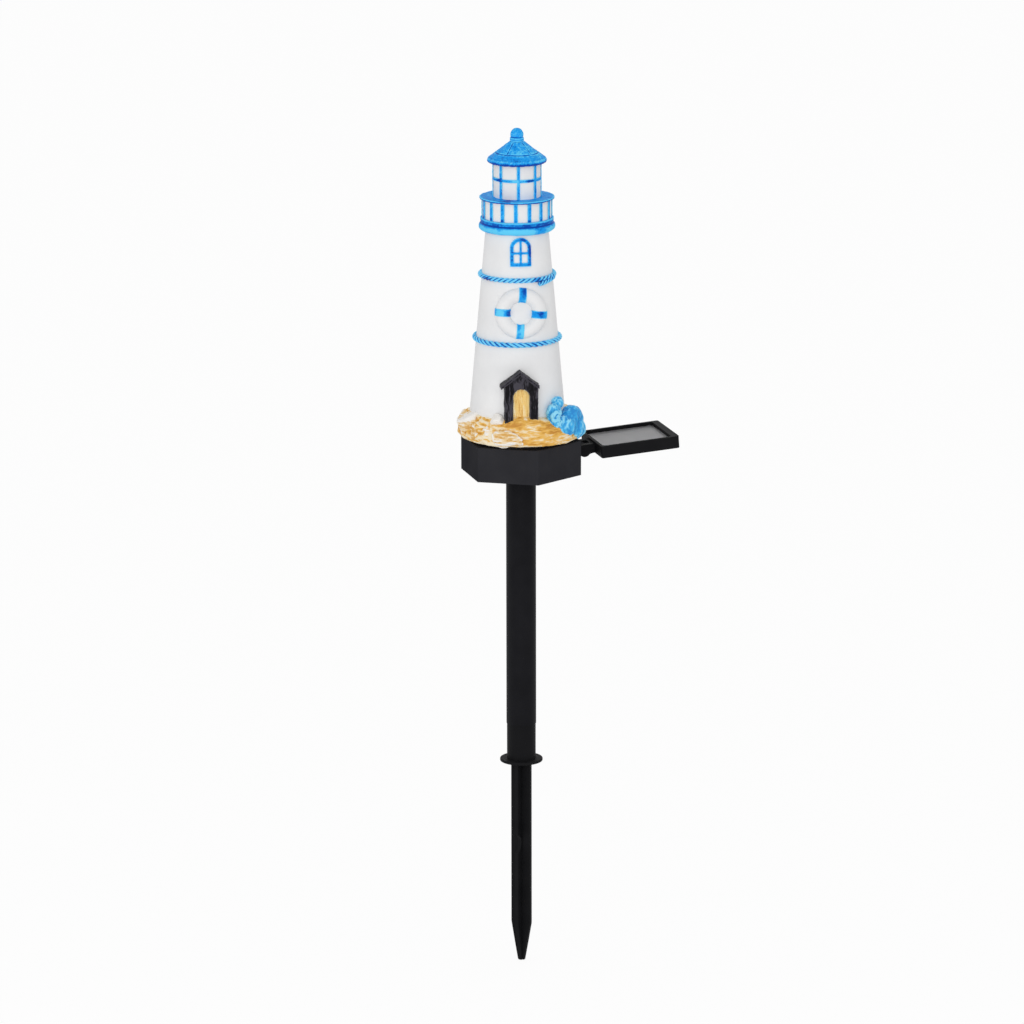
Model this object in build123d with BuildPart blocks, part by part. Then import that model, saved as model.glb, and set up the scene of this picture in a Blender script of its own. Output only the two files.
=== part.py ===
from build123d import *
import os
from math import atan, cos, radians, sin

# Solar garden light: a hollow lighthouse statue on a hexagonal lamp base, on a tube and a ground spike.
# Millimetres. The origin is the middle of the ground flange's underside, Z is up, and the solar panel
# is toward +X.

# Ground spike and pole
spike_length = 135.0
spike_tip_length = 25.5
spike_tip_width = 4.7
fin_span = 14.0
fin_thickness = 2.5
fin_turn = 45.0
notch_drop = 55.0
notch_radius = 6.8
notch_depth = 4.5
flange_diameter = 27.6
flange_thickness = 1.8
flange_round = 0.5
collar_diameter = 18.6
collar_length = 23.6
spigot_length = 20.0
spigot_wall = 2.0
pole_diameter = 19.2
pole_wall = 1.2
pole_length = 166.6
swivel_clearance = 0.05

# Hexagonal lamp base
hex_across_flats = 68.6
base_height = 22.5
base_wall = 2.4
base_edge_round = 0.7
deck_thickness = 2.5
seat_diameter = 64.0
seat_height = 2.3
cover_thickness = 3.0
cover_gap = 0.15
rebate_width = 1.2
seal_thickness = 1.0
boss_radius = 3.2
boss_inset = 2.6
screw_diameter = 2.6
screw_depth = 8.0
screw_head_diameter = 5.0
screw_head_height = 1.6
screw_clearance = 0.1

# Lamp electronics
window_diameter = 16.0
window_thickness = 2.0
window_lip = 2.0
window_clearance = 0.1
led_diameter = 5.0
led_flange_diameter = 5.8
led_flange_height = 0.9
led_height = 4.8
led_gap = 0.5
led_leg_diameter = 0.6
led_leg_pitch = 2.54
led_leg_tail = 1.0
leg_clearance = 0.1
board_length = 36.0
board_width = 24.0
board_thickness = 1.6
board_gap = 0.75
board_screw_diameter = 2.0
board_screw_head_diameter = 3.6
board_screw_head_height = 1.2
board_screw_bite = 3.5
board_screw_inset = 3.5
standoff_radius = 2.4
chip_length = 5.0
chip_width = 4.0
chip_height = 2.0
inductor_length = 7.0
inductor_diameter = 3.5
component_spread = 20.0
component_setback = 9.0
switch_width = 8.5
switch_height = 7.0
switch_margin = 3.0
button_diameter = 5.8
button_proud = 1.6
button_travel = 1.5
button_engagement = 3.5
button_overrun = 0.5
button_fit = 0.08
button_clearance = 0.3
battery_diameter = 10.5
battery_length = 44.5
battery_nub_diameter = 3.8
battery_nub_length = 1.0
battery_offset = 9.0
battery_clearance = 0.1
holder_wall = 1.2
holder_floor = 1.2
contact_thickness = 0.4
contact_width = 7.0
contact_rise = 6.5
contact_drop = 3.5
leaf_gap = 1.4
leaf_width = 4.0
lead_diameter = 1.2
lead_drop = 2.5
lead_bend = 1.2
lead_inset = 2.5

# Solar panel and its tilt hinge
hinge_reach = 6.0
hinge_drop = 9.8
knuckle_radius = 4.0
lug_width = 7.0
lug_radius = 3.8
cheek_width = 4.2
hinge_clearance = 0.3
slot_clearance = 0.8
pin_diameter = 3.0
pin_cap = 1.2
pin_fit = 0.02
pin_clearance = 0.05
panel_rest_tilt = 4.0
tray_reach = 6.8
tray_rise = 5.4
tray_length = 52.2
tray_width = 46.4
tray_height = 8.0
tray_corner = 1.5
tray_edge_round = 0.6
rim_width = 1.8
end_rim_width = 4.6
pocket_corner = 2.6
recess_depth = 2.2
cell_cover_thickness = 1.0
cell_thickness = 0.4
backing_thickness = 0.8
laminate_clearance = 0.1
laminate_ledge = 2.0
tray_floor = 1.4
arm_arch = 0.7

# Statue foot: rocks, boulders and waves around the tower
front_bearing = -100.0
glue_gap = 0.1
tower_foot_radius = 31.4
tower_top_radius = 20.0
tower_wall = 3.0
tower_sink = 4.2
tower_shift = 2.4
rock_height = 15.4
rock_spread = 8.4
rock_shoulder = 3.0
rock_facets = 24
rock_lip = 2.6
light_well_radius = 24.0
boulder_sides = 7
boulder_width = 18.0
boulder_lift = 1.0
mound_bearing = -134.0
mound_width = 10.0
mound_height = 6.4
mound_sink = 3.0
mound_reach = 0.6
crest_radius = 7.0

# Porch and door, measured up from the ground at the door
porch_width = 21.3
porch_post_width = 5.3
porch_height = 33.2
porch_projection = 2.8
porch_root = 3.0
porch_offset = 0.75
porch_roof_width = 24.5
porch_roof_drop = 9.5
porch_roof_thickness = 2.2
porch_roof_overhang = 1.4
porch_roof_offset = 0.9
door_height = 21.3
door_projection = 0.8
door_clearance = 0.1

# Trim on the tower, stacked up from the porch to the gallery
porch_to_rope = 13.75
lower_rope_diameter = 3.3
rope_to_ring = 1.85
life_ring_diameter = 32.8
life_ring_hole = 14.2
life_ring_sink = 1.5
life_ring_band_width = 4.9
life_ring_band_height = 0.35
life_ring_turn = -4.4
ring_to_rope = 3.0
upper_rope_diameter = 3.2
rope_lift = 0.8
rope_to_window = 7.3
window_frame_width = 13.4
window_frame_height = 18.2
window_frame_border = 2.3
window_frame_bar = 1.4
window_cross_rise = 8.4
window_frame_relief = 1.3
window_pane_relief = 0.5
window_to_gallery = 2.0

# Gallery, lantern and roof
light_bore_radius = 15.0
band_lower_height = 4.7
band_upper_height = 3.0
band_radius = 24.3
band_upper_radius = 23.3
band_groove = 0.6
gallery_wall_height = 12.0
gallery_wall_radius = 21.8
post_count = 16
post_width = 2.6
post_height = 0.7
post_bearing = -107.9
rail_height = 1.4
rail_radius = 23.9
rail_round = 0.6
rail_ledge = 1.0
lantern_height = 23.1
lantern_radius = 14.95
lantern_wall = 1.9
lantern_bar_count = 8
lantern_bar_width = 2.2
lantern_bar_relief = 0.65
lantern_ring_rise = 10.9
lantern_ring_height = 2.0
lantern_bearing = -102.5
roof_overhang = 3.05
roof_lip = 1.4
roof_clearance = 0.2
roof_height = 12.0
roof_top_radius = 4.6
roof_eave_thickness = 1.2
roof_panel_count = 5
roof_bearing = -98.8
roof_groove_width = 0.7
roof_groove_depth = 0.45
roof_ring_radius = 13.5
finial_collar_radius = 3.7
finial_collar_height = 2.3
finial_bead = 0.8
finial_ball_diameter = 8.4
finial_ball_sink = 2.2

# Heights of the stack, from the ground line up
pole_bottom = flange_thickness + collar_length
base_bottom = pole_bottom + pole_length
cover_top = base_bottom + cover_thickness
base_ledge = cover_top + seal_thickness
deck_top = base_bottom + base_height
deck_underside = deck_top - deck_thickness
seat_top = deck_top + seat_height
tower_foot = seat_top + tower_sink
ground = seat_top + rock_height
porch_apex = ground + porch_height
lower_rope_height = porch_apex + porch_to_rope + lower_rope_diameter / 2
ring_height = lower_rope_height + lower_rope_diameter / 2 + rope_to_ring + life_ring_diameter / 2
upper_rope_height = ring_height + life_ring_diameter / 2 + ring_to_rope + upper_rope_diameter / 2
window_sill = upper_rope_height + upper_rope_diameter / 2 + rope_to_window
tower_top = window_sill + window_frame_height + window_to_gallery
band_top = tower_top + band_lower_height + band_upper_height
gallery_top = band_top + gallery_wall_height
rail_top = gallery_top + rail_height
lantern_top = rail_top + lantern_height
roof_top = lantern_top + roof_height

# The tower is a plain cone, so its radius at a height follows from its foot and its top
tower_slope = (tower_foot_radius - tower_top_radius) / (tower_top - tower_foot)


def tower_radius(height):
    return tower_foot_radius - tower_slope * (height - tower_foot)


# The tower stands a little off the pole's axis, away from the panel, so it has an axis of its own
tower_axis = Axis((-tower_shift, 0, 0), (0, 0, 1))
tower_plan = Plane(origin=(-tower_shift, 0, 0))
tower_side = Plane(origin=(-tower_shift, 0, 0), x_dir=(1, 0, 0), z_dir=(0, -1, 0))


def by_tower(bearing, reach, height):
    x, y, z = around(bearing, reach, height)
    return (x - tower_shift, y, z)


def around(bearing, reach, height):
    return (reach * cos(radians(bearing)), reach * sin(radians(bearing)), height)


on_floor = (Align.CENTER, Align.CENTER, Align.MIN)
hung = (Align.CENTER, Align.CENTER, Align.MAX)
spigot_radius = pole_diameter / 2 - pole_wall - swivel_clearance
fin_edge = fin_span / 2

# Ground spike: four tapered fins, a flange that stops at the ground, a collar, and a spigot for the pole
notch_reach = fin_edge - notch_depth + notch_radius
notch_planes = [
    Plane(
        origin=around(fin_turn + side, notch_reach, -notch_drop),
        x_dir=around(fin_turn + side, 1, 0),
        z_dir=around(fin_turn + side + 90, 1, 0),
    )
    for side in (0, 180)
]
with BuildPart() as ground_spike:
    with BuildSketch() as fin_cross:
        Rectangle(fin_span * 1.2, fin_thickness, rotation=fin_turn)
        Rectangle(fin_span * 1.2, fin_thickness, rotation=fin_turn + 90)
    extrude(amount=-spike_length)
    with BuildSketch(Plane.XZ) as fin_envelope:
        with BuildLine() as fin_outline:
            Polyline(
                (0, 0),
                (fin_edge, 0),
                (fin_edge, spike_tip_length - spike_length),
                (spike_tip_width / 2, -spike_length),
                (0, -spike_length),
                close=True,
            )
        make_face()
    revolve(axis=Axis.Z, mode=Mode.INTERSECT)
    with BuildSketch(*notch_planes) as fin_notches:
        Circle(notch_radius)
    extrude(amount=fin_thickness, both=True, mode=Mode.SUBTRACT)
    Cylinder(flange_diameter / 2, flange_thickness, align=on_floor)
    flange_rims = ground_spike.edges().filter_by(GeomType.CIRCLE).sort_by(SortBy.RADIUS)[-2:]
    fillet(flange_rims, flange_round)
    with Locations((0, 0, flange_thickness)):
        Cylinder(collar_diameter / 2, collar_length, align=on_floor)
    with Locations((0, 0, pole_bottom)):
        Cylinder(spigot_radius, spigot_length, align=on_floor)
        Cylinder(spigot_radius - spigot_wall, spigot_length, align=on_floor, mode=Mode.SUBTRACT)
ground_spike.part.label = "ground_spike"

# Pole: one plain tube between the spike's spigot and the base cover's spigot
with BuildPart(Plane.XY.offset(pole_bottom)) as pole_tube:
    Cylinder(pole_diameter / 2, pole_length, align=on_floor)
    Cylinder(pole_diameter / 2 - pole_wall, pole_length, align=on_floor, mode=Mode.SUBTRACT)
pole_tube.part.label = "pole_tube"

# Hexagons of the base, given by half their width across flats, with a flat toward +X
outer_apothem = hex_across_flats / 2
cavity_apothem = outer_apothem - base_wall
rebate_apothem = cavity_apothem + rebate_width
cover_apothem = rebate_apothem - cover_gap
hex_turn = 30
screw_circle = (cavity_apothem - boss_inset) / cos(radians(30))
screw_start = 90

# Heights inside the base, worked down from the light window and up from the cover
window_underside = seat_top - window_thickness
board_top = window_underside - led_gap - led_height
board_underside = board_top - board_thickness
board_edge = battery_offset - battery_diameter / 2 - board_gap
board_middle = board_edge - board_width / 2
board_screw_x = board_length / 2 - board_screw_inset
board_screw_y = board_edge - board_width + board_screw_inset
board_screw_places = [(-board_screw_x, board_screw_y), (board_screw_x, board_screw_y)]
switch_place = -(pole_diameter / 2 + button_diameter / 2 + switch_margin)
switch_underside = board_underside - switch_height

# Tilt hinge: its axis lies along Y in front of the base's +X flat
hinge_x = outer_apothem + hinge_reach
hinge_z = deck_top - hinge_drop

# Base housing: a hexagonal shell with a closed deck, the statue's round seat, screw bosses,
# board stand-offs, a stepped hole for the light window and the hinge lug
with BuildPart() as base_housing:
    with BuildSketch(Plane.XY.offset(base_bottom)) as base_outline:
        RegularPolygon(outer_apothem, 6, major_radius=False, rotation=hex_turn)
    extrude(amount=base_height)
    fillet(base_housing.edges().filter_by(Axis.Z), base_edge_round)
    fillet(base_housing.faces().sort_by(Axis.Z)[-1].edges(), base_edge_round)
    with Locations((0, 0, deck_top)):
        Cylinder(seat_diameter / 2, seat_height, align=on_floor)
    with BuildSketch(Plane.XY.offset(base_bottom)) as base_cavity:
        RegularPolygon(cavity_apothem, 6, major_radius=False, rotation=hex_turn)
    extrude(amount=deck_underside - base_bottom, mode=Mode.SUBTRACT)
    with BuildSketch(Plane.XY.offset(base_bottom)) as cover_rebate:
        RegularPolygon(rebate_apothem, 6, major_radius=False, rotation=hex_turn)
    extrude(amount=base_ledge - base_bottom, mode=Mode.SUBTRACT)
    with BuildSketch(Plane.XY.offset(base_ledge)) as screw_bosses:
        with PolarLocations(screw_circle, 3, start_angle=screw_start):
            Circle(boss_radius)
    extrude(amount=deck_underside - base_ledge)
    with BuildSketch(Plane.XY.offset(base_ledge)) as boss_holes:
        with PolarLocations(screw_circle, 3, start_angle=screw_start):
            Circle(screw_diameter / 2 + screw_clearance)
    extrude(amount=screw_depth, mode=Mode.SUBTRACT)
    with BuildSketch(Plane.XY.offset(board_top)) as standoffs:
        with Locations(*board_screw_places):
            Circle(standoff_radius)
    extrude(amount=deck_underside - board_top)
    with BuildSketch(Plane.XY.offset(board_top)) as standoff_holes:
        with Locations(*board_screw_places):
            Circle(board_screw_diameter / 2 + screw_clearance)
    extrude(amount=board_screw_bite, mode=Mode.SUBTRACT)
    with Locations((0, 0, seat_top)):
        CounterBoreHole(
            window_diameter / 2 - window_lip,
            window_diameter / 2 + window_clearance,
            window_thickness,
            depth=seat_top - deck_underside,
        )
    with BuildSketch(Plane.XZ) as lug_side:
        with Locations((hinge_x, hinge_z)):
            Circle(lug_radius)
            Rectangle(hinge_reach + base_wall / 2, 2 * lug_radius, align=(Align.MAX, Align.CENTER))
    extrude(amount=lug_width / 2, both=True)
    with BuildSketch(Plane.XZ) as lug_bore:
        with Locations((hinge_x, hinge_z)):
            Circle(pin_diameter / 2 + pin_clearance)
    extrude(amount=lug_width, both=True, mode=Mode.SUBTRACT)
base_housing.part.label = "base_housing"

# Base cover: a hexagonal plate let into the housing, with a spigot that turns in the pole
with BuildPart() as base_cover:
    with BuildSketch(Plane.XY.offset(base_bottom)) as cover_outline:
        RegularPolygon(cover_apothem, 6, major_radius=False, rotation=hex_turn)
    extrude(amount=cover_thickness)
    with Locations((0, 0, base_bottom)):
        Cylinder(spigot_radius, spigot_length, align=hung)
        Cylinder(spigot_radius - spigot_wall, spigot_length, align=hung, mode=Mode.SUBTRACT)
    with BuildSketch(Plane.XY.offset(base_bottom)) as cover_holes:
        with PolarLocations(screw_circle, 3, start_angle=screw_start):
            Circle(screw_diameter / 2 + screw_clearance)
        with Locations((0, switch_place)):
            Circle(button_diameter / 2 + button_clearance)
    extrude(amount=cover_thickness, mode=Mode.SUBTRACT)
    with BuildSketch(Plane.XY.offset(base_bottom)) as head_recesses:
        with PolarLocations(screw_circle, 3, start_angle=screw_start):
            Circle(screw_head_diameter / 2 + screw_clearance)
    extrude(amount=screw_head_height, mode=Mode.SUBTRACT)
base_cover.part.label = "base_cover"

# Seal: a flat hexagonal ring squeezed between the cover and the housing's ledge
with BuildPart() as base_seal:
    with BuildSketch(Plane.XY.offset(cover_top)) as seal_ring:
        RegularPolygon(cover_apothem, 6, major_radius=False, rotation=hex_turn)
        RegularPolygon(cavity_apothem, 6, major_radius=False, rotation=hex_turn, mode=Mode.SUBTRACT)
    extrude(amount=seal_thickness)
base_seal.part.label = "base_seal"

# Three screws hold the cover, with their heads sunk flush in its underside
with BuildPart() as cover_screws:
    with BuildSketch(Plane.XY.offset(base_bottom)) as screw_heads:
        with PolarLocations(screw_circle, 3, start_angle=screw_start):
            Circle(screw_head_diameter / 2)
    extrude(amount=screw_head_height)
    with BuildSketch(Plane.XY.offset(base_bottom)) as screw_shanks:
        with PolarLocations(screw_circle, 3, start_angle=screw_start):
            Circle(screw_diameter / 2)
    extrude(amount=base_ledge - base_bottom + screw_depth - screw_clearance)
    with BuildSketch(Plane.XY.offset(base_bottom)) as screw_slots:
        with PolarLocations(screw_circle, 3, start_angle=screw_start):
            Rectangle(screw_head_diameter * 0.6, screw_diameter * 0.3)
            Rectangle(screw_diameter * 0.3, screw_head_diameter * 0.6)
    extrude(amount=screw_head_height * 0.6, mode=Mode.SUBTRACT)
cover_screws.part.label = "cover_screws"

# Light window: a clear disc let into the seat, so that the lamp shines up into the statue
with BuildPart(Plane.XY.offset(window_underside)) as light_window:
    Cylinder(window_diameter / 2, window_thickness, align=on_floor)
light_window.part.label = "light_window"

# Circuit board, hung under the deck on two screws
leg_places = [(-led_leg_pitch / 2, 0), (led_leg_pitch / 2, 0)]
with BuildPart() as circuit_board:
    with BuildSketch(Plane.XY.offset(board_underside)) as board_outline:
        with Locations((0, board_middle)):
            Rectangle(board_length, board_width)
        with Locations(*leg_places):
            Circle(led_leg_diameter / 2 + leg_clearance, mode=Mode.SUBTRACT)
        with Locations(*board_screw_places):
            Circle(board_screw_diameter / 2 + screw_clearance, mode=Mode.SUBTRACT)
    extrude(amount=board_thickness)
circuit_board.part.label = "circuit_board"

with BuildPart() as board_screws:
    with BuildSketch(Plane.XY.offset(board_underside)) as board_screw_heads:
        with Locations(*board_screw_places):
            Circle(board_screw_head_diameter / 2)
    extrude(amount=-board_screw_head_height)
    with BuildSketch(Plane.XY.offset(board_underside)) as board_screw_shanks:
        with Locations(*board_screw_places):
            Circle(board_screw_diameter / 2)
    extrude(amount=board_thickness + board_screw_bite - screw_clearance)
board_screws.part.label = "board_screws"

# Driver chip and inductor, soldered on the underside of the board
component_y = board_edge - component_setback
with BuildPart() as driver_chip:
    with Locations((-component_spread / 2, component_y, board_underside)):
        Box(chip_length, chip_width, chip_height, align=hung)
driver_chip.part.label = "driver_chip"

with BuildPart() as inductor:
    with Locations((component_spread / 2, component_y, board_underside - inductor_diameter / 2)):
        Cylinder(inductor_diameter / 2, inductor_length, rotation=(0, 90, 0))
inductor.part.label = "inductor"

# Lamp: a round-nosed white diode on the board's top, under the light window
with BuildPart() as led_lamp:
    with Locations((0, 0, board_top)):
        Cylinder(led_flange_diameter / 2, led_flange_height, align=on_floor)
        Cylinder(led_diameter / 2, led_height - led_diameter / 2, align=on_floor)
    with Locations((0, 0, board_top + led_height - led_diameter / 2)):
        Sphere(led_diameter / 2, arc_size1=0)
    with BuildSketch(Plane.XY.offset(board_top)) as led_legs:
        with Locations(*leg_places):
            Circle(led_leg_diameter / 2)
    extrude(amount=-(board_thickness + led_leg_tail))
led_lamp.part.label = "led_lamp"

# On-off switch: a body under the board, and a push button that comes out through the cover
with BuildPart() as switch_body:
    with BuildSketch(Plane.XY.offset(switch_underside)) as switch_outline:
        with Locations((0, switch_place)):
            Rectangle(switch_width, switch_width)
    extrude(amount=switch_height)
    with BuildSketch(Plane.XY.offset(switch_underside)) as switch_bore:
        with Locations((0, switch_place)):
            Circle(button_diameter / 2 + button_fit)
    extrude(amount=button_engagement + button_travel + button_overrun, mode=Mode.SUBTRACT)
switch_body.part.label = "switch_body"

button_bottom = base_bottom - button_proud
with BuildPart(Plane((0, switch_place, button_bottom))) as switch_button:
    Cylinder(button_diameter / 2, switch_underside + button_engagement - button_bottom, align=on_floor)
    fillet(switch_button.edges().sort_by(Axis.Z)[0], button_diameter * 0.1)
switch_button.part.label = "switch_button"

# Battery: one small rechargeable cell along X in an open cradle on the cover
battery_axis = cover_top + holder_floor + battery_clearance + battery_diameter / 2
holder_inside = battery_length + leaf_gap + 2 * contact_thickness
holder_length = holder_inside + 2 * holder_wall
holder_width = battery_diameter + 2 * battery_clearance + 2 * holder_wall
battery_tip = -holder_inside / 2 + contact_thickness
with BuildPart(Plane((0, battery_offset, cover_top))) as battery_holder:
    Box(holder_length, holder_width, battery_axis - cover_top, align=on_floor)
    with Locations((0, 0, battery_axis - cover_top)):
        Cylinder(
            battery_diameter / 2 + battery_clearance,
            holder_inside,
            rotation=(0, 90, 0),
            mode=Mode.SUBTRACT,
        )
    with Locations((-(holder_length - holder_wall) / 2, 0), ((holder_length - holder_wall) / 2, 0)):
        Box(holder_wall, contact_width, battery_axis - cover_top + contact_drop, align=on_floor)
battery_holder.part.label = "battery_holder"

along_battery = Plane((battery_tip, battery_offset, battery_axis), x_dir=(0, 1, 0), z_dir=(1, 0, 0))
with BuildPart(along_battery) as battery_cell:
    Cylinder(battery_nub_diameter / 2, battery_length, align=on_floor)
    with Locations((0, 0, battery_nub_length)):
        Cylinder(battery_diameter / 2, battery_length - battery_nub_length, align=on_floor)
battery_cell.part.label = "battery_cell"

# Spring contacts: a plain plate at the nub end, a plate with a bent leaf at the flat end
contact_height = contact_rise + contact_drop
contact_middle = battery_axis + (contact_rise - contact_drop) / 2
contact_x = (holder_inside - contact_thickness) / 2
with BuildPart() as positive_contact:
    with Locations((-contact_x, battery_offset, contact_middle)):
        Box(contact_thickness, contact_width, contact_height)
positive_contact.part.label = "positive_contact"

leaf_root = contact_x - contact_thickness / 2
with BuildPart() as negative_contact:
    with Locations((contact_x, battery_offset, contact_middle)):
        Box(contact_thickness, contact_width, contact_height)
    with BuildSketch(Plane.XZ.offset(-battery_offset)) as leaf_side:
        with BuildLine() as leaf_outline:
            Polyline(
                (leaf_root, battery_axis + contact_drop),
                (leaf_root - leaf_gap, battery_axis),
                (leaf_root - leaf_gap, battery_axis - contact_thickness),
                (leaf_root, battery_axis + contact_drop - 2 * contact_thickness),
                close=True,
            )
        make_face()
    extrude(amount=leaf_width / 2, both=True)
negative_contact.part.label = "negative_contact"

# Battery leads: two short insulated wires from the contacts' edges to the board
lead_height = board_underside - lead_drop
lead_start = battery_offset - contact_width / 2
lead_end_x = board_length / 2 - lead_inset
lead_end_y = board_edge - lead_inset
with BuildPart() as battery_leads:
    for side in (-1, 1):
        with BuildLine() as lead_route:
            FilletPolyline(
                (side * contact_x, lead_start, lead_height),
                (side * contact_x, lead_end_y, lead_height),
                (side * lead_end_x, lead_end_y, lead_height),
                (side * lead_end_x, lead_end_y, board_underside),
                radius=lead_bend,
            )
        lead_plane = Plane((side * contact_x, lead_start, lead_height), z_dir=(0, -1, 0))
        with BuildSketch(lead_plane) as lead_section:
            Circle(lead_diameter / 2)
        sweep()
battery_leads.part.label = "battery_leads"

# Solar panel: a shallow tray on a forked arm that tilts on the hinge pin, drawn at its rest tilt
rest = radians(panel_rest_tilt)
panel_plane = Plane(
    origin=(hinge_x, 0, hinge_z), x_dir=(cos(rest), 0, sin(rest)), z_dir=(-sin(rest), 0, cos(rest))
)
arm_side = Plane(origin=(hinge_x, 0, hinge_z), x_dir=(cos(rest), 0, sin(rest)), z_dir=(0, -1, 0))
arm_width = lug_width + 2 * hinge_clearance + 2 * cheek_width
tray_middle = tray_reach + tray_length / 2
tray_underside = tray_rise - tray_height
arm_root = tray_reach + rim_width / 2
pocket_length = tray_length - rim_width - end_rim_width
pocket_middle = tray_reach + rim_width + pocket_length / 2
pocket_width = tray_width - 2 * rim_width
laminate_top = tray_rise - recess_depth
cell_top = laminate_top - cell_cover_thickness
backing_top = cell_top - cell_thickness
backing_underside = backing_top - backing_thickness
with BuildPart() as panel_tray:
    with BuildSketch(panel_plane.offset(tray_underside)) as tray_outline:
        with Locations((tray_middle, 0)):
            RectangleRounded(tray_length, tray_width, tray_corner)
    extrude(amount=tray_height)
    fillet(panel_tray.faces().sort_by(Axis.Z)[0].edges(), tray_edge_round)
    with BuildSketch(arm_side) as arm_profile:
        with BuildLine() as arm_outline:
            Polyline(
                (0, -knuckle_radius),
                (0, knuckle_radius),
                (arm_root, knuckle_radius),
                (arm_root, tray_underside + tray_edge_round),
            )
            ThreePointArc(
                (arm_root, tray_underside + tray_edge_round),
                (arm_root / 2, (tray_underside + tray_edge_round - knuckle_radius) / 2 + arm_arch),
                (0, -knuckle_radius),
            )
        make_face()
        Circle(knuckle_radius)
    extrude(amount=arm_width / 2, both=True)
    with BuildSketch(arm_side) as lug_slot:
        with Locations((lug_radius + slot_clearance, 0)):
            Rectangle(
                lug_radius + slot_clearance + 2 * knuckle_radius,
                4 * knuckle_radius,
                align=(Align.MAX, Align.CENTER),
            )
    extrude(amount=lug_width / 2 + hinge_clearance, both=True, mode=Mode.SUBTRACT)
    with BuildSketch(arm_side.offset(-arm_width / 2)) as pin_bore:
        Circle(pin_diameter / 2 + pin_fit)
    extrude(amount=arm_width - pin_cap, mode=Mode.SUBTRACT)
    with BuildSketch(panel_plane.offset(tray_rise)) as laminate_pocket:
        with Locations((pocket_middle, 0)):
            RectangleRounded(pocket_length, pocket_width, pocket_corner)
    extrude(amount=backing_underside - tray_rise, mode=Mode.SUBTRACT)
    with BuildSketch(panel_plane.offset(backing_underside)) as tray_hollow:
        with Locations((pocket_middle, 0)):
            Rectangle(pocket_length - 2 * laminate_ledge, pocket_width - 2 * laminate_ledge)
    extrude(amount=tray_underside + tray_floor - backing_underside, mode=Mode.SUBTRACT)
panel_tray.part.label = "panel_tray"

with BuildPart() as hinge_pin:
    with BuildSketch(arm_side.offset(-arm_width / 2)) as pin_section:
        Circle(pin_diameter / 2)
    extrude(amount=arm_width - pin_cap)
hinge_pin.part.label = "hinge_pin"

# Laminate in the tray: a backing board, the cell and a clear cover
laminate_length = pocket_length - 2 * laminate_clearance
laminate_width = pocket_width - 2 * laminate_clearance
with BuildPart() as cell_backing:
    with BuildSketch(panel_plane.offset(backing_underside)) as backing_outline:
        with Locations((pocket_middle, 0)):
            RectangleRounded(laminate_length, laminate_width, pocket_corner)
    extrude(amount=backing_thickness)
cell_backing.part.label = "cell_backing"

with BuildPart() as solar_cell:
    with BuildSketch(panel_plane.offset(backing_top)) as cell_outline:
        with Locations((pocket_middle, 0)):
            RectangleRounded(laminate_length, laminate_width, pocket_corner)
    extrude(amount=cell_thickness)
solar_cell.part.label = "solar_cell"

with BuildPart() as cell_cover:
    with BuildSketch(panel_plane.offset(cell_top)) as cell_cover_outline:
        with Locations((pocket_middle, 0)):
            RectangleRounded(laminate_length, laminate_width, pocket_corner)
    extrude(amount=cell_cover_thickness)
cell_cover.part.label = "cell_cover"

# Tower: a hollow cone, open at both ends so that light reaches the lantern
with BuildPart() as tower_shell:
    with BuildSketch(tower_side) as tower_section:
        with BuildLine() as tower_outline:
            Polyline(
                (tower_foot_radius - tower_wall, tower_foot),
                (tower_foot_radius, tower_foot),
                (tower_top_radius, tower_top),
                (tower_top_radius - tower_wall, tower_top),
                close=True,
            )
        make_face()
    revolve(axis=tower_axis)
tower_shell.part.label = "tower_shell"


# Solid cones a little larger than the tower, for trimming what is bonded to its skin
def tower_cone_outline(extra):
    return [
        (0, tower_foot),
        (tower_foot_radius + extra, tower_foot),
        (tower_top_radius + extra, tower_top),
        (0, tower_top),
    ]


with BuildPart() as skin_cone:
    with BuildSketch(tower_side) as skin_section:
        Polygon(*tower_cone_outline(glue_gap), align=None)
    revolve(axis=tower_axis)

with BuildPart() as frame_cone:
    with BuildSketch(tower_side) as frame_section:
        Polygon(*tower_cone_outline(window_frame_relief), align=None)
    revolve(axis=tower_axis)

with BuildPart() as pane_cone:
    with BuildSketch(tower_side) as pane_section:
        Polygon(*tower_cone_outline(window_pane_relief), align=None)
    revolve(axis=tower_axis)

# Rock base: a faceted bank of sand and rock around the tower's foot, with a socket for the tower
# and a well that lets the light through
rock_rim_radius = tower_foot_radius + rock_spread
rock_top_radius = tower_radius(ground) + rock_shoulder
rock_steps = [
    (0, rock_rim_radius - rock_lip / 2),
    (rock_lip, rock_rim_radius),
    (rock_height * 0.6, rock_rim_radius - rock_spread * 0.22),
    (rock_height * 0.88, (rock_rim_radius + rock_top_radius) / 2),
    (rock_height, rock_top_radius),
]


def rock_outline(radius):
    facets = [360 * step / rock_facets for step in range(rock_facets)]
    broad = [0.025 * cos(radians(3 * turn + 40)) ** 2 for turn in facets]
    fine = [0.02 * sin(radians(5 * turn)) ** 2 for turn in facets]
    reaches = [radius * (1 - wide - small) for wide, small in zip(broad, fine)]
    return [around(turn, reach, 0)[:2] for turn, reach in zip(facets, reaches)]


with BuildPart() as rock_base:
    for rise, radius in rock_steps:
        with BuildSketch(Plane.XY.offset(seat_top + rise)) as rock_section:
            Polygon(*rock_outline(radius), align=None)
    loft(ruled=True)
    add(skin_cone.part, mode=Mode.SUBTRACT)
    with Locations((0, 0, seat_top)):
        Cylinder(light_well_radius, tower_sink, align=on_floor, mode=Mode.SUBTRACT)
rock_base.part.label = "rock_base"

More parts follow.
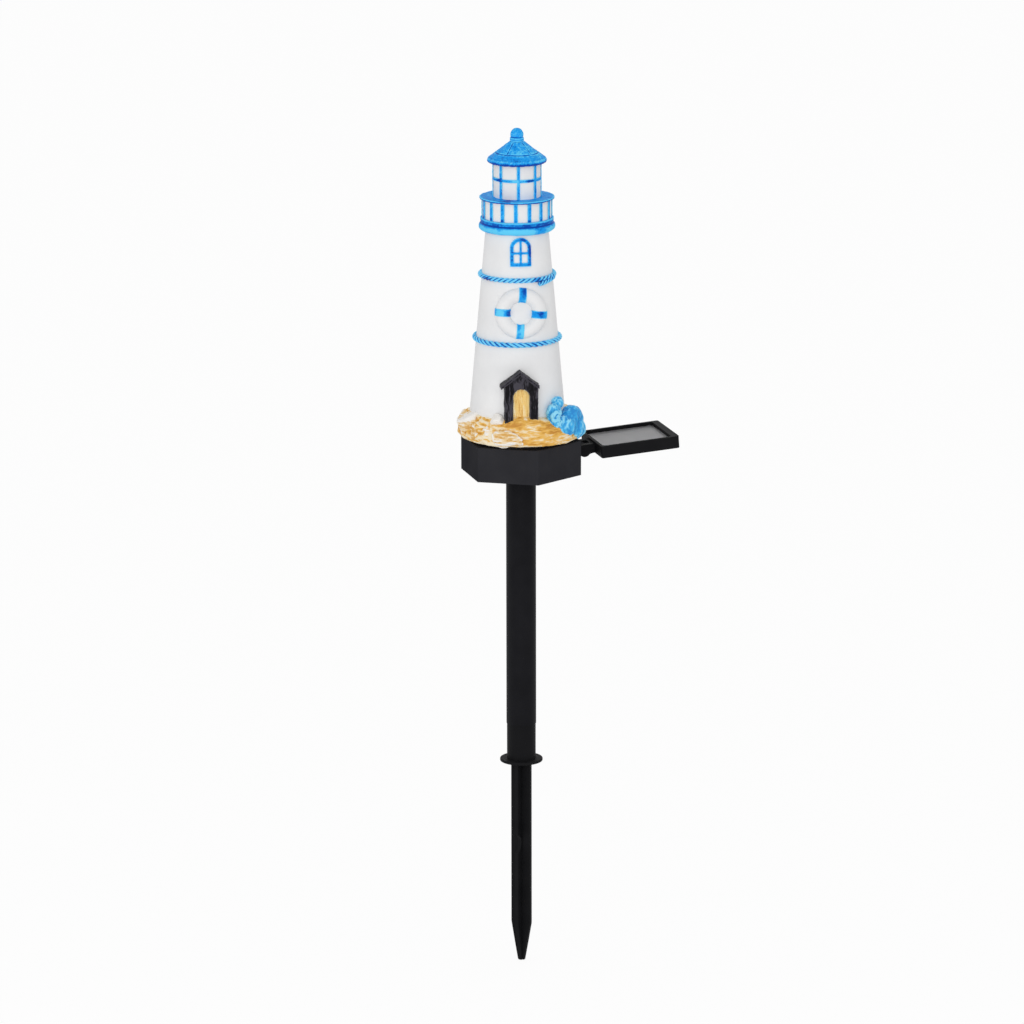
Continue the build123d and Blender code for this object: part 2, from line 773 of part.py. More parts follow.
# Boulders: pale blocks set in the bank. Each has its bearing, then its inset from the rim, its width and
# its height as shares of the widest boulder
boulder_shares = [
    (-178, 0.44, 1.0, 0.91),
    (-155, 0.37, 0.72, 0.76),
    (-139, 0.24, 0.48, 0.58),
    (-124, 0.26, 0.52, 0.56),
    (152, 0.36, 0.78, 0.83),
    (112, 0.33, 0.72, 0.72),
    (68, 0.36, 0.78, 0.89),
    (27, 0.37, 0.67, 0.7),
]
boulder_sizes = [
    (bearing, inset * boulder_width, wide * boulder_width, tall * boulder_width)
    for bearing, inset, wide, tall in boulder_shares
]
boulder_places = [
    (bearing, rock_rim_radius - inset, boulder_lift, wide, tall)
    for bearing, inset, wide, tall in boulder_sizes
]

# One more pale mound lies at the tower's foot, beside the door
mound_place = tower_radius(ground) + tower_shift + mound_reach
boulder_places.append((mound_bearing, mound_place, rock_height - mound_sink, mound_width, mound_height))
boulder_steps = [(0, 0.96), (0.5, 1.0), (0.85, 0.92), (1, 0.66)]
with BuildPart() as boulders:
    for bearing, reach, foot, width, height in boulder_places:
        boulder_foot = Plane(
            origin=around(bearing, reach, seat_top + foot), x_dir=around(bearing, 1, 0), z_dir=(0, 0, 1)
        )
        for rise, share in boulder_steps:
            with BuildSketch(boulder_foot.offset(rise * height)) as boulder_section:
                RegularPolygon(share * width / 2, boulder_sides)
        loft(ruled=True)
    add(rock_base.part, mode=Mode.SUBTRACT)
    add(skin_cone.part, mode=Mode.SUBTRACT)
    with Locations((0, 0, seat_top)):
        Cylinder(light_well_radius, tower_sink, align=on_floor, mode=Mode.SUBTRACT)
boulders.part.label = "boulders"

# Wave: rounded crests of water on the panel's side of the door. Each has its bearing, then its inset from
# the rim, its rise and its radius as shares of the largest crest's radius
wave_shares = [
    (-36, 0.54, 1.01, 1.0),
    (-40, 0.63, 2.29, 0.87),
    (-52, 0.76, 1.46, 1.0),
    (-67, 0.97, 1.99, 0.71),
    (-67, 0.97, 2.89, 0.71),
    (-57, 1.26, 3.61, 0.56),
]
with BuildPart() as wave:
    for bearing, inset, rise, size in wave_shares:
        crest_reach = rock_rim_radius - inset * crest_radius
        with Locations(around(bearing, crest_reach, seat_top + rise * crest_radius)):
            Sphere(size * crest_radius)
    add(rock_base.part, mode=Mode.SUBTRACT)
    add(skin_cone.part, mode=Mode.SUBTRACT)
wave.part.label = "wave"

# The statue's front: a plane through the tower's axis that faces the door's bearing, with its own X to
# the viewer's right
front_plane = Plane(
    origin=(-tower_shift, 0, 0),
    x_dir=around(front_bearing + 90, 1, 0),
    z_dir=around(front_bearing, 1, 0),
)
# The porch stands a little to the viewer's left of it, and its roof a little further
porch_plane = front_plane.shift_origin(front_plane.from_local_coords((-porch_offset, 0, 0)))
porch_roof_plane = porch_plane.shift_origin(porch_plane.from_local_coords((-porch_roof_offset, 0, 0)))
porch_front = tower_radius(ground) + porch_projection
door_front = tower_radius(ground) + door_projection
roof_front = porch_front + porch_roof_overhang
roof_pitch = porch_roof_drop / (porch_roof_width / 2)
roof_under_apex = porch_apex - porch_roof_thickness
left_shoulder = roof_under_apex - roof_pitch * (porch_width / 2 - porch_roof_offset)
right_shoulder = roof_under_apex - roof_pitch * (porch_width / 2 + porch_roof_offset)
opening_width = porch_width - 2 * porch_post_width
opening_spring = ground + door_height - opening_width / 2

# Porch: two posts and a gable wall around an arched opening
with BuildPart() as porch:
    with BuildSketch(porch_plane) as porch_face:
        with BuildLine() as porch_outline:
            Polyline(
                (-porch_width / 2, ground - porch_root),
                (porch_width / 2, ground - porch_root),
                (porch_width / 2, right_shoulder),
                (-porch_roof_offset, roof_under_apex),
                (-porch_width / 2, left_shoulder),
                close=True,
            )
        make_face()
        with Locations((0, opening_spring)):
            Circle(opening_width / 2, mode=Mode.SUBTRACT)
            Rectangle(
                opening_width,
                opening_spring - ground + 2 * porch_root,
                align=(Align.CENTER, Align.MAX),
                mode=Mode.SUBTRACT,
            )
    extrude(amount=porch_front)
    add(rock_base.part, mode=Mode.SUBTRACT)
    add(skin_cone.part, mode=Mode.SUBTRACT)
porch.part.label = "porch"

# Porch roof: two sloped slabs meeting at the ridge
with BuildPart() as porch_roof:
    with BuildSketch(porch_roof_plane) as roof_face:
        with BuildLine() as roof_outline:
            Polyline(
                (-porch_roof_width / 2, porch_apex - porch_roof_drop),
                (0, porch_apex),
                (porch_roof_width / 2, porch_apex - porch_roof_drop),
                (porch_roof_width / 2, porch_apex - porch_roof_drop - porch_roof_thickness),
                (0, roof_under_apex),
                (-porch_roof_width / 2, porch_apex - porch_roof_drop - porch_roof_thickness),
                close=True,
            )
        make_face()
    extrude(amount=roof_front)
    add(skin_cone.part, mode=Mode.SUBTRACT)
porch_roof.part.label = "porch_roof"

# Door: an arched leaf set back inside the porch
leaf_radius = opening_width / 2 - door_clearance
with BuildPart() as door:
    with BuildSketch(porch_plane) as door_face:
        with Locations((0, opening_spring)):
            Circle(leaf_radius)
            Rectangle(
                2 * leaf_radius, opening_spring - ground + porch_root, align=(Align.CENTER, Align.MAX)
            )
    extrude(amount=door_front)
    add(rock_base.part, mode=Mode.SUBTRACT)
    add(porch.part, mode=Mode.SUBTRACT)
    add(skin_cone.part, mode=Mode.SUBTRACT)
door.part.label = "door"

# Ropes: two cast rings around the tower
with BuildPart() as lower_rope:
    with Locations((-tower_shift, 0, lower_rope_height)):
        Torus(tower_radius(lower_rope_height) + rope_lift, lower_rope_diameter / 2)
    add(skin_cone.part, mode=Mode.SUBTRACT)
lower_rope.part.label = "lower_rope"

with BuildPart() as upper_rope:
    with Locations((-tower_shift, 0, upper_rope_height)):
        Torus(tower_radius(upper_rope_height) + rope_lift, upper_rope_diameter / 2)
    add(skin_cone.part, mode=Mode.SUBTRACT)
upper_rope.part.label = "upper_rope"

# Life ring: a stout ring bedded in the tower's front, leaning back with the wall, with four raised bands
ring_major = (life_ring_diameter + life_ring_hole) / 4
ring_minor = (life_ring_diameter - life_ring_hole) / 4
lean = atan(tower_slope)
ring_plane = Plane(
    origin=by_tower(front_bearing, tower_radius(ring_height) - life_ring_sink, ring_height),
    x_dir=around(front_bearing + 90, 1, 0),
    z_dir=around(front_bearing, cos(lean), sin(lean)),
)
with BuildPart() as life_ring:
    with Locations(ring_plane):
        Torus(ring_major, ring_minor)
    add(skin_cone.part, mode=Mode.SUBTRACT)
life_ring.part.label = "life_ring"

with BuildPart() as life_ring_bands:
    with Locations(ring_plane):
        Torus(ring_major, ring_minor + life_ring_band_height)
    with BuildSketch(ring_plane) as band_places:
        with PolarLocations(ring_major, 4, start_angle=life_ring_turn):
            Rectangle(4 * ring_minor, life_ring_band_width)
    extrude(amount=2 * ring_minor, both=True, mode=Mode.INTERSECT)
    with Locations(ring_plane):
        Torus(ring_major, ring_minor + glue_gap, mode=Mode.SUBTRACT)
    add(skin_cone.part, mode=Mode.SUBTRACT)
life_ring_bands.part.label = "life_ring_bands"

# Arched window: a raised frame with crossed bars, and four panes a little lower
window_head = window_sill + window_frame_height - window_frame_width / 2
pane_width = window_frame_width - 2 * window_frame_border
cross_height = window_sill + window_cross_rise
with BuildPart() as window_frame:
    with BuildSketch(front_plane) as window_face:
        with Locations((0, window_head)):
            Circle(window_frame_width / 2)
            Rectangle(window_frame_width, window_head - window_sill, align=(Align.CENTER, Align.MAX))
            Circle(pane_width / 2, mode=Mode.SUBTRACT)
            Rectangle(
                pane_width,
                window_head - window_sill - window_frame_border,
                align=(Align.CENTER, Align.MAX),
                mode=Mode.SUBTRACT,
            )
        with Locations((0, cross_height)):
            Rectangle(pane_width + window_frame_border, window_frame_bar)
        with Locations((0, window_sill + window_frame_height / 2)):
            Rectangle(window_frame_bar, window_frame_height - window_frame_border)
    extrude(amount=tower_foot_radius)
    add(frame_cone.part, mode=Mode.INTERSECT)
    add(skin_cone.part, mode=Mode.SUBTRACT)
window_frame.part.label = "window_frame"

with BuildPart() as window_panes:
    with BuildSketch(front_plane) as pane_face:
        with Locations((0, window_head)):
            Circle(pane_width / 2)
            Rectangle(
                pane_width, window_head - window_sill - window_frame_border, align=(Align.CENTER, Align.MAX)
            )
    extrude(amount=tower_foot_radius)
    add(pane_cone.part, mode=Mode.INTERSECT)
    add(skin_cone.part, mode=Mode.SUBTRACT)
    add(window_frame.part, mode=Mode.SUBTRACT)
window_panes.part.label = "window_panes"

# Gallery: a rounded cornice band, a white wall with posts, and a top rail, stacked on the tower's rim
band_step = tower_top + band_lower_height
with BuildPart() as gallery_band:
    with BuildSketch(tower_side) as band_section:
        with BuildLine() as band_outline:
            Polyline((light_bore_radius, tower_top), (tower_top_radius, tower_top))
            ThreePointArc(
                (tower_top_radius, tower_top),
                (band_radius, tower_top + band_lower_height * 0.55),
                (band_upper_radius - band_groove, band_step),
            )
            Polyline(
                (band_upper_radius - band_groove, band_step),
                (band_upper_radius, band_step + band_groove),
                (band_upper_radius, band_top),
                (light_bore_radius, band_top),
                (light_bore_radius, tower_top),
            )
        make_face()
    revolve(axis=tower_axis)
gallery_band.part.label = "gallery_band"

with BuildPart(tower_plan.offset(band_top)) as gallery_wall:
    Cylinder(gallery_wall_radius, gallery_wall_height, align=on_floor)
    Cylinder(light_bore_radius, gallery_wall_height, align=on_floor, mode=Mode.SUBTRACT)
gallery_wall.part.label = "gallery_wall"

with BuildPart() as gallery_posts:
    with BuildSketch(tower_plan.offset(band_top)) as post_section:
        with PolarLocations(gallery_wall_radius, post_count, start_angle=post_bearing):
            Rectangle(4 * post_height, post_width)
        Circle(gallery_wall_radius + post_height, mode=Mode.INTERSECT)
        Circle(gallery_wall_radius + glue_gap, mode=Mode.SUBTRACT)
    extrude(amount=gallery_wall_height)
gallery_posts.part.label = "gallery_posts"

lantern_inside = lantern_radius - lantern_wall
with BuildPart(tower_plan.offset(gallery_top)) as gallery_rail:
    Cylinder(rail_radius, rail_height, align=on_floor)
    fillet(gallery_rail.edges().filter_by(GeomType.CIRCLE), rail_round)
    Cylinder(lantern_inside - rail_ledge, rail_height, align=on_floor, mode=Mode.SUBTRACT)
gallery_rail.part.label = "gallery_rail"

# Lantern: a pale drum behind a cage of glazing bars
with BuildPart(tower_plan.offset(rail_top)) as lantern_drum:
    Cylinder(lantern_radius, lantern_height, align=on_floor)
    Cylinder(lantern_inside, lantern_height, align=on_floor, mode=Mode.SUBTRACT)
lantern_drum.part.label = "lantern_drum"

bars_radius = lantern_radius + lantern_bar_relief
bar_pitch = 360 / lantern_bar_count
glass_width = 2 * bars_radius * sin(radians(bar_pitch / 2)) - lantern_bar_width
glass_start = lantern_bearing + bar_pitch / 2
cage_ring_top = rail_top + lantern_ring_rise + lantern_ring_height
with BuildPart(tower_plan.offset(rail_top)) as lantern_bars:
    Cylinder(bars_radius, lantern_height, align=on_floor)
    Cylinder(lantern_radius + glue_gap, lantern_height, align=on_floor, mode=Mode.SUBTRACT)
    with BuildSketch(tower_plan.offset(rail_top)) as lower_glass:
        with PolarLocations(bars_radius, lantern_bar_count, start_angle=glass_start):
            Rectangle(lantern_radius, glass_width)
    extrude(amount=lantern_ring_rise, mode=Mode.SUBTRACT)
    with BuildSketch(tower_plan.offset(cage_ring_top)) as upper_glass:
        with PolarLocations(bars_radius, lantern_bar_count, start_angle=glass_start):
            Rectangle(lantern_radius, glass_width)
    extrude(amount=lantern_top - cage_ring_top, mode=Mode.SUBTRACT)
lantern_bars.part.label = "lantern_bars"

# Roof: a low cone with a rounded eave, one ring groove, and radial grooves above it between the panels
eave_inside = bars_radius + roof_clearance
eave_radius = eave_inside + roof_overhang
eave_bottom = lantern_top - roof_lip
eave_top = eave_bottom + 2 * roof_eave_thickness


def roof_surface(radius):
    return eave_top + (roof_top - eave_top) * (eave_radius - radius) / (eave_radius - roof_top_radius)


roof_panel_step = 360 / roof_panel_count
groove_turns = [roof_bearing + roof_panel_step * (panel + 0.5) for panel in range(roof_panel_count)]
ring_groove_height = roof_surface(roof_ring_radius)
groove_planes = [tower_side.rotated((0, 0, turn)) for turn in groove_turns]
with BuildPart() as roof:
    with BuildSketch(tower_side) as roof_section:
        with BuildLine() as roof_profile:
            Polyline(
                (0, roof_top),
                (0, lantern_top),
                (eave_inside, lantern_top),
                (eave_inside, eave_bottom),
                (eave_radius - roof_eave_thickness, eave_bottom),
            )
            ThreePointArc(
                (eave_radius - roof_eave_thickness, eave_bottom),
                (eave_radius, eave_bottom + roof_eave_thickness),
                (eave_radius - roof_eave_thickness, roof_surface(eave_radius - roof_eave_thickness)),
            )
            Polyline(
                (eave_radius - roof_eave_thickness, roof_surface(eave_radius - roof_eave_thickness)),
                (roof_top_radius, roof_top),
                (0, roof_top),
            )
        make_face()
    revolve(axis=tower_axis)
    with BuildSketch(*groove_planes) as groove_sides:
        Polygon(
            (roof_top_radius, roof_top - roof_groove_depth),
            (roof_top_radius, roof_top + roof_groove_depth),
            (roof_ring_radius, ring_groove_height + roof_groove_depth),
            (roof_ring_radius, ring_groove_height - roof_groove_depth),
            align=None,
        )
    extrude(amount=roof_groove_width / 2, both=True, mode=Mode.SUBTRACT)
    with BuildSketch(tower_side) as ring_groove:
        with Locations((roof_ring_radius, ring_groove_height)):
            Circle(roof_groove_depth)
    revolve(axis=tower_axis, mode=Mode.SUBTRACT)
roof.part.label = "roof"

# Finial: a beaded collar under a ball
with BuildPart(tower_plan.offset(roof_top)) as finial:
    Cylinder(finial_collar_radius, finial_collar_height, align=on_floor)
    with Locations((0, 0, finial_bead), (0, 0, finial_collar_height - finial_bead * 0.6)):
        Torus(finial_collar_radius, finial_bead)
    with Locations((0, 0, finial_collar_height + finial_ball_diameter / 2 - finial_ball_sink)):
        Sphere(finial_ball_diameter / 2)
finial.part.label = "finial"

os.makedirs("parts", exist_ok=True)
export_step(ground_spike.part, "parts/ground_spike.step")
export_step(pole_tube.part, "parts/pole_tube.step")
export_step(base_housing.part, "parts/base_housing.step")
export_step(base_cover.part, "parts/base_cover.step")
export_step(base_seal.part, "parts/base_seal.step")
export_step(cover_screws.part, "parts/cover_screws.step")
export_step(light_window.part, "parts/light_window.step")
export_step(circuit_board.part, "parts/circuit_board.step")
export_step(board_screws.part, "parts/board_screws.step")
export_step(driver_chip.part, "parts/driver_chip.step")
export_step(inductor.part, "parts/inductor.step")
export_step(led_lamp.part, "parts/led_lamp.step")
export_step(switch_body.part, "parts/switch_body.step")
export_step(switch_button.part, "parts/switch_button.step")
export_step(battery_holder.part, "parts/battery_holder.step")
export_step(battery_cell.part, "parts/battery_cell.step")
export_step(positive_contact.part, "parts/positive_contact.step")
export_step(negative_contact.part, "parts/negative_contact.step")
export_step(battery_leads.part, "parts/battery_leads.step")
export_step(panel_tray.part, "parts/panel_tray.step")
export_step(hinge_pin.part, "parts/hinge_pin.step")
export_step(cell_backing.part, "parts/cell_backing.step")
export_step(solar_cell.part, "parts/solar_cell.step")
export_step(cell_cover.part, "parts/cell_cover.step")
export_step(tower_shell.part, "parts/tower_shell.step")
export_step(rock_base.part, "parts/rock_base.step")
export_step(boulders.part, "parts/boulders.step")
export_step(wave.part, "parts/wave.step")
export_step(porch.part, "parts/porch.step")
export_step(porch_roof.part, "parts/porch_roof.step")
export_step(door.part, "parts/door.step")
export_step(lower_rope.part, "parts/lower_rope.step")
export_step(upper_rope.part, "parts/upper_rope.step")
export_step(life_ring.part, "parts/life_ring.step")
export_step(life_ring_bands.part, "parts/life_ring_bands.step")
export_step(window_frame.part, "parts/window_frame.step")
export_step(window_panes.part, "parts/window_panes.step")
export_step(gallery_band.part, "parts/gallery_band.step")
export_step(gallery_wall.part, "parts/gallery_wall.step")
export_step(gallery_posts.part, "parts/gallery_posts.step")
export_step(gallery_rail.part, "parts/gallery_rail.step")
export_step(lantern_drum.part, "parts/lantern_drum.step")
export_step(lantern_bars.part, "parts/lantern_bars.step")
export_step(roof.part, "parts/roof.step")
export_step(finial.part, "parts/finial.step")
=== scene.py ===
import math
import random

import bpy
from mathutils import Matrix, Vector


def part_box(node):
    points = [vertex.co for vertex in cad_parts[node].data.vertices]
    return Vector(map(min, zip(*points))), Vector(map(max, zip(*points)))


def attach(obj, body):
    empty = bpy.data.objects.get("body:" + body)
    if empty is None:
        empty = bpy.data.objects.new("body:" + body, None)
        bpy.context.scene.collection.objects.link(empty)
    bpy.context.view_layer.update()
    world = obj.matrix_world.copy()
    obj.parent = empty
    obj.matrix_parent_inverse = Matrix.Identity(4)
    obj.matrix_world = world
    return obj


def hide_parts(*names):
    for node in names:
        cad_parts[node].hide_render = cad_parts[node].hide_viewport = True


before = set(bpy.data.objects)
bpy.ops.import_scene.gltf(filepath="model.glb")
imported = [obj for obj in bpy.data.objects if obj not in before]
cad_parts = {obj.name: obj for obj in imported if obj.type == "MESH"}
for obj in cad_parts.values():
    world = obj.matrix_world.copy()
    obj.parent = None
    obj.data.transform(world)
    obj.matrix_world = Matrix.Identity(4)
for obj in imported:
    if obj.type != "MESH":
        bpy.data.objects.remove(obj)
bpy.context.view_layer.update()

# Ground spike: one injection moulding in black plastic, with four tapered fins, a round flange that
# stops at the soil and a collar with a spigot that plugs into the pole.
mm = 0.001
grain_depth = 0.2 * mm


def place_node(tree, kind, values=None, **settings):
    made = tree.nodes.new("ShaderNode" + kind)
    for setting, value in settings.items():
        setattr(made, setting, value)
    for socket, value in (values or {}).items():
        made.inputs[socket].default_value = value
    return made


def new_group(name, inputs, outputs):
    group = bpy.data.node_groups.new(name, "ShaderNodeTree")
    for socket, kind in inputs:
        group.interface.new_socket(socket, in_out="INPUT", socket_type="NodeSocket" + kind)
    for socket, kind in outputs:
        group.interface.new_socket(socket, in_out="OUTPUT", socket_type="NodeSocket" + kind)
    return group, group.nodes.new("NodeGroupInput"), group.nodes.new("NodeGroupOutput")


def moulded_grain_group():
    group, given, result = new_group(
        "moulded_grain", [("Scale", "Float")], [("Mottle", "Float"), ("Height", "Float")]
    )
    where = place_node(group, "TexCoord")
    fine = place_node(group, "TexNoise", {"Detail": 3.0, "Roughness": 0.6})
    group.links.new(where.outputs["Object"], fine.inputs["Vector"])
    group.links.new(given.outputs["Scale"], fine.inputs["Scale"])
    broad = place_node(group, "TexNoise", {"Scale": 55.0, "Detail": 4.0, "Roughness": 0.55})
    group.links.new(where.outputs["Object"], broad.inputs["Vector"])
    spread = place_node(group, "MapRange", {"From Min": 0.3, "From Max": 0.7})
    group.links.new(broad.outputs["Fac"], spread.inputs["Value"])
    group.links.new(spread.outputs["Result"], result.inputs["Mottle"])
    group.links.new(fine.outputs["Fac"], result.inputs["Height"])
    return group


moulded_grain = moulded_grain_group()


def set_shader(material, values):
    shader = material.node_tree.nodes["Principled BSDF"]
    for socket, value in values.items():
        shader.inputs[socket].default_value = value


def grained(name, low, high, polish, grain_scale, relief, metallic=0.0, specular=0.5):
    material = bpy.data.materials.new(name)
    material.use_nodes = True
    set_shader(material, {"Metallic": metallic, "Specular IOR Level": specular})
    tree = material.node_tree
    shader = tree.nodes["Principled BSDF"]
    grain = place_node(tree, "Group", {"Scale": grain_scale}, node_tree=moulded_grain)
    colour = place_node(tree, "Mix", {"A": (*low, 1.0), "B": (*high, 1.0)}, data_type="RGBA")
    tree.links.new(grain.outputs["Mottle"], colour.inputs["Factor"])
    tree.links.new(colour.outputs["Result"], shader.inputs["Base Color"])
    gloss = place_node(tree, "MapRange", {"To Min": polish[0], "To Max": polish[1]})
    tree.links.new(grain.outputs["Mottle"], gloss.inputs["Value"])
    tree.links.new(gloss.outputs["Result"], shader.inputs["Roughness"])
    bump = place_node(tree, "Bump", {"Strength": relief, "Distance": grain_depth})
    tree.links.new(grain.outputs["Height"], bump.inputs["Height"])
    tree.links.new(bump.outputs["Normal"], shader.inputs["Normal"])
    return material


def finish_nodes(material, *names):
    for name in names:
        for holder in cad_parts[name].material_slots:
            holder.material = material


black_plastic = grained(
    "black_plastic",
    low=(0.007, 0.007, 0.008),
    high=(0.01, 0.01, 0.011),
    polish=(0.5, 0.6),
    grain_scale=2600.0,
    relief=0.25,
    specular=0.05,
)
finish_nodes(black_plastic, "ground_spike")

# Pole: a plain extruded tube in the same black plastic, pushed over the spigots at both ends. Its skin
# is a little smoother than the mouldings.
pole_plastic = grained(
    "pole_plastic",
    low=(0.007, 0.007, 0.0085),
    high=(0.011, 0.011, 0.013),
    polish=(0.46, 0.56),
    grain_scale=900.0,
    relief=0.12,
    specular=0.05,
)
finish_nodes(pole_plastic, "pole_tube")

# Lamp base: a hexagonal housing moulded in matt black plastic with the statue's round seat. A cover
# closes it from below, with a rubber seal and three sunk steel screws.
base_plastic = grained(
    "base_plastic",
    low=(0.025, 0.025, 0.029),
    high=(0.032, 0.032, 0.036),
    polish=(0.56, 0.66),
    grain_scale=3200.0,
    relief=0.3,
    specular=0.0,
)
finish_nodes(base_plastic, "base_housing", "base_cover")
seal_rubber = grained(
    "seal_rubber",
    low=(0.02, 0.02, 0.02),
    high=(0.035, 0.035, 0.035),
    polish=(0.7, 0.85),
    grain_scale=1800.0,
    relief=0.3,
)
finish_nodes(seal_rubber, "base_seal")
screw_steel = grained(
    "screw_steel",
    low=(0.5, 0.5, 0.51),
    high=(0.66, 0.66, 0.67),
    polish=(0.25, 0.4),
    grain_scale=1500.0,
    relief=0.1,
    metallic=1.0,
)
finish_nodes(screw_steel, "cover_screws", "board_screws", "hinge_pin")

# Lamp electronics: a board hung under the deck with its driver chip, inductor, diode and push switch,
# and one rechargeable cell in a cradle on the cover. A clear window over the diode lets its light up
# into the tower.
board_mask = grained(
    "board_mask",
    low=(0.012, 0.09, 0.035),
    high=(0.02, 0.14, 0.055),
    polish=(0.3, 0.42),
    grain_scale=700.0,
    relief=0.2,
)
finish_nodes(board_mask, "circuit_board")
chip_body = grained(
    "chip_body",
    low=(0.012, 0.012, 0.012),
    high=(0.022, 0.022, 0.022),
    polish=(0.5, 0.65),
    grain_scale=4000.0,
    relief=0.3,
)
finish_nodes(chip_body, "driver_chip", "switch_body", "battery_holder")
button_cap = grained(
    "button_cap",
    low=(0.03, 0.03, 0.032),
    high=(0.045, 0.045, 0.048),
    polish=(0.35, 0.45),
    grain_scale=3000.0,
    relief=0.2,
)
finish_nodes(button_cap, "switch_button")
inductor_sleeve = grained(
    "inductor_sleeve",
    low=(0.03, 0.16, 0.11),
    high=(0.06, 0.24, 0.17),
    polish=(0.25, 0.4),
    grain_scale=1200.0,
    relief=0.25,
)
finish_nodes(inductor_sleeve, "inductor")
battery_sleeve = grained(
    "battery_sleeve",
    low=(0.07, 0.24, 0.12),
    high=(0.1, 0.3, 0.16),
    polish=(0.2, 0.32),
    grain_scale=300.0,
    relief=0.08,
)
finish_nodes(battery_sleeve, "battery_cell")
contact_nickel = grained(
    "contact_nickel",
    low=(0.62, 0.6, 0.55),
    high=(0.74, 0.72, 0.66),
    polish=(0.2, 0.34),
    grain_scale=2200.0,
    relief=0.1,
    metallic=1.0,
)
finish_nodes(contact_nickel, "positive_contact", "negative_contact")
lead_insulation = grained(
    "lead_insulation",
    low=(0.3, 0.012, 0.012),
    high=(0.42, 0.03, 0.03),
    polish=(0.4, 0.5),
    grain_scale=1500.0,
    relief=0.1,
)
finish_nodes(lead_insulation, "battery_leads")
window_plastic = grained(
    "window_plastic",
    low=(0.84, 0.85, 0.85),
    high=(0.9, 0.91, 0.91),
    polish=(0.12, 0.2),
    grain_scale=600.0,
    relief=0.05,
)
set_shader(window_plastic, {"Transmission Weight": 0.85})
finish_nodes(window_plastic, "light_window")
lamp_lens = grained(
    "lamp_lens",
    low=(0.86, 0.85, 0.76),
    high=(0.93, 0.92, 0.84),
    polish=(0.08, 0.16),
    grain_scale=800.0,
    relief=0.05,
)
set_shader(lamp_lens, {"Transmission Weight": 0.5})
finish_nodes(lamp_lens, "led_lamp")

# Solar panel: a shallow black tray on a forked arm, tilting on its pin. A dark cell on a backing board
# lies in the tray under a poured clear cover.
finish_nodes(black_plastic, "panel_tray")
cell_backing = grained(
    "cell_backing",
    low=(0.02, 0.05, 0.03),
    high=(0.03, 0.07, 0.04),
    polish=(0.5, 0.6),
    grain_scale=900.0,
    relief=0.1,
)
finish_nodes(cell_backing, "cell_backing")
cell_silicon = grained(
    "silicon_cell",
    low=(0.01, 0.011, 0.016),
    high=(0.02, 0.022, 0.032),
    polish=(0.22, 0.3),
    grain_scale=500.0,
    relief=0.05,
)


def add_crystals(material, crystal_scale, share):
    tree = material.node_tree
    shader = tree.nodes["Principled BSDF"]
    where = place_node(tree, "TexCoord")
    crystals = place_node(tree, "TexVoronoi", {"Scale": crystal_scale})
    tree.links.new(where.outputs["Object"], crystals.inputs["Vector"])
    shade = place_node(tree, "Mix", data_type="RGBA", blend_type="MULTIPLY")
    shade.inputs["Factor"].default_value = share
    plain = shader.inputs["Base Color"].links[0].from_socket
    tree.links.new(plain, shade.inputs["A"])
    tree.links.new(crystals.outputs["Color"], shade.inputs["B"])
    tree.links.new(shade.outputs["Result"], shader.inputs["Base Color"])


add_crystals(cell_silicon, crystal_scale=420.0, share=0.35)
finish_nodes(cell_silicon, "solar_cell")
cell_clear = grained(
    "cell_clear",
    low=(0.8, 0.8, 0.82),
    high=(0.86, 0.86, 0.88),
    polish=(0.36, 0.42),
    grain_scale=240.0,
    relief=0.06,
)
set_shader(cell_clear, {"Transmission Weight": 0.8, "IOR": 1.6})
finish_nodes(cell_clear, "cell_cover")

# Tower: a hollow tapered casting in stone-filled resin, primed and painted flat white. The gallery's
# wall, the lantern's drum, the window's panes and the life ring have the same white coat.
white_coat = grained(
    "white_coat",
    low=(0.78, 0.782, 0.79),
    high=(0.84, 0.84, 0.845),
    polish=(0.5, 0.64),
    grain_scale=1100.0,
    relief=0.2,
)
finish_nodes(white_coat, "tower_shell", "gallery_wall", "lantern_drum", "window_panes", "life_ring")

# Rock bank: the statue's foot, cast as a ring of sand and ledges round the tower and painted by hand,
# golden in the hollows with paler dry-brushed ridges. The sand runs up to the door in a tongue.
seat_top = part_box("rock_base")[0].z
tower_low, tower_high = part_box("tower_shell")
tower_middle = (tower_low.x + tower_high.x) / 2
front_bearing = -100.0
stroke_relief = 0.3
stroke_depth = 0.25 * mm
hollow_angle = math.radians(76)
ridge_angle = math.radians(104)


def bearing_of(place):
    return math.degrees(math.atan2(place.y, place.x))


def angle_between(bearing, other):
    return (bearing - other + 180.0) % 360.0 - 180.0


def pick(piece):
    bpy.ops.object.select_all(action="DESELECT")
    piece.select_set(True)
    bpy.context.view_layer.objects.active = piece


def add_modifier(piece, kind, **settings):
    pick(piece)
    bpy.ops.object.modifier_add(type=kind)
    modifier = piece.modifiers[-1]
    for setting, value in settings.items():
        setattr(modifier, setting, value)
    bpy.ops.object.modifier_apply(modifier=modifier.name)


def even_out(piece, facet):
    add_modifier(piece, "REMESH", mode="VOXEL", voxel_size=facet)


def soften(piece, passes):
    add_modifier(piece, "SMOOTH", factor=0.5, iterations=passes)


def roughen(piece, lump, depth, stretch=(1.0, 1.0, 1.0), where=""):
    texture = bpy.data.textures.new(piece.name + "_roughness", "CLOUDS")
    texture.noise_scale = lump
    texture.noise_depth = 2
    bpy.ops.object.empty_add(location=(0.0, 0.0, 0.0))
    guide = bpy.context.object
    guide.scale = stretch
    bpy.context.view_layer.update()
    add_modifier(
        piece,
        "DISPLACE",
        texture=texture,
        texture_coords="OBJECT",
        texture_coords_object=guide,
        strength=depth,
        mid_level=0.5,
        vertex_group=where,
    )
    bpy.data.objects.remove(guide)


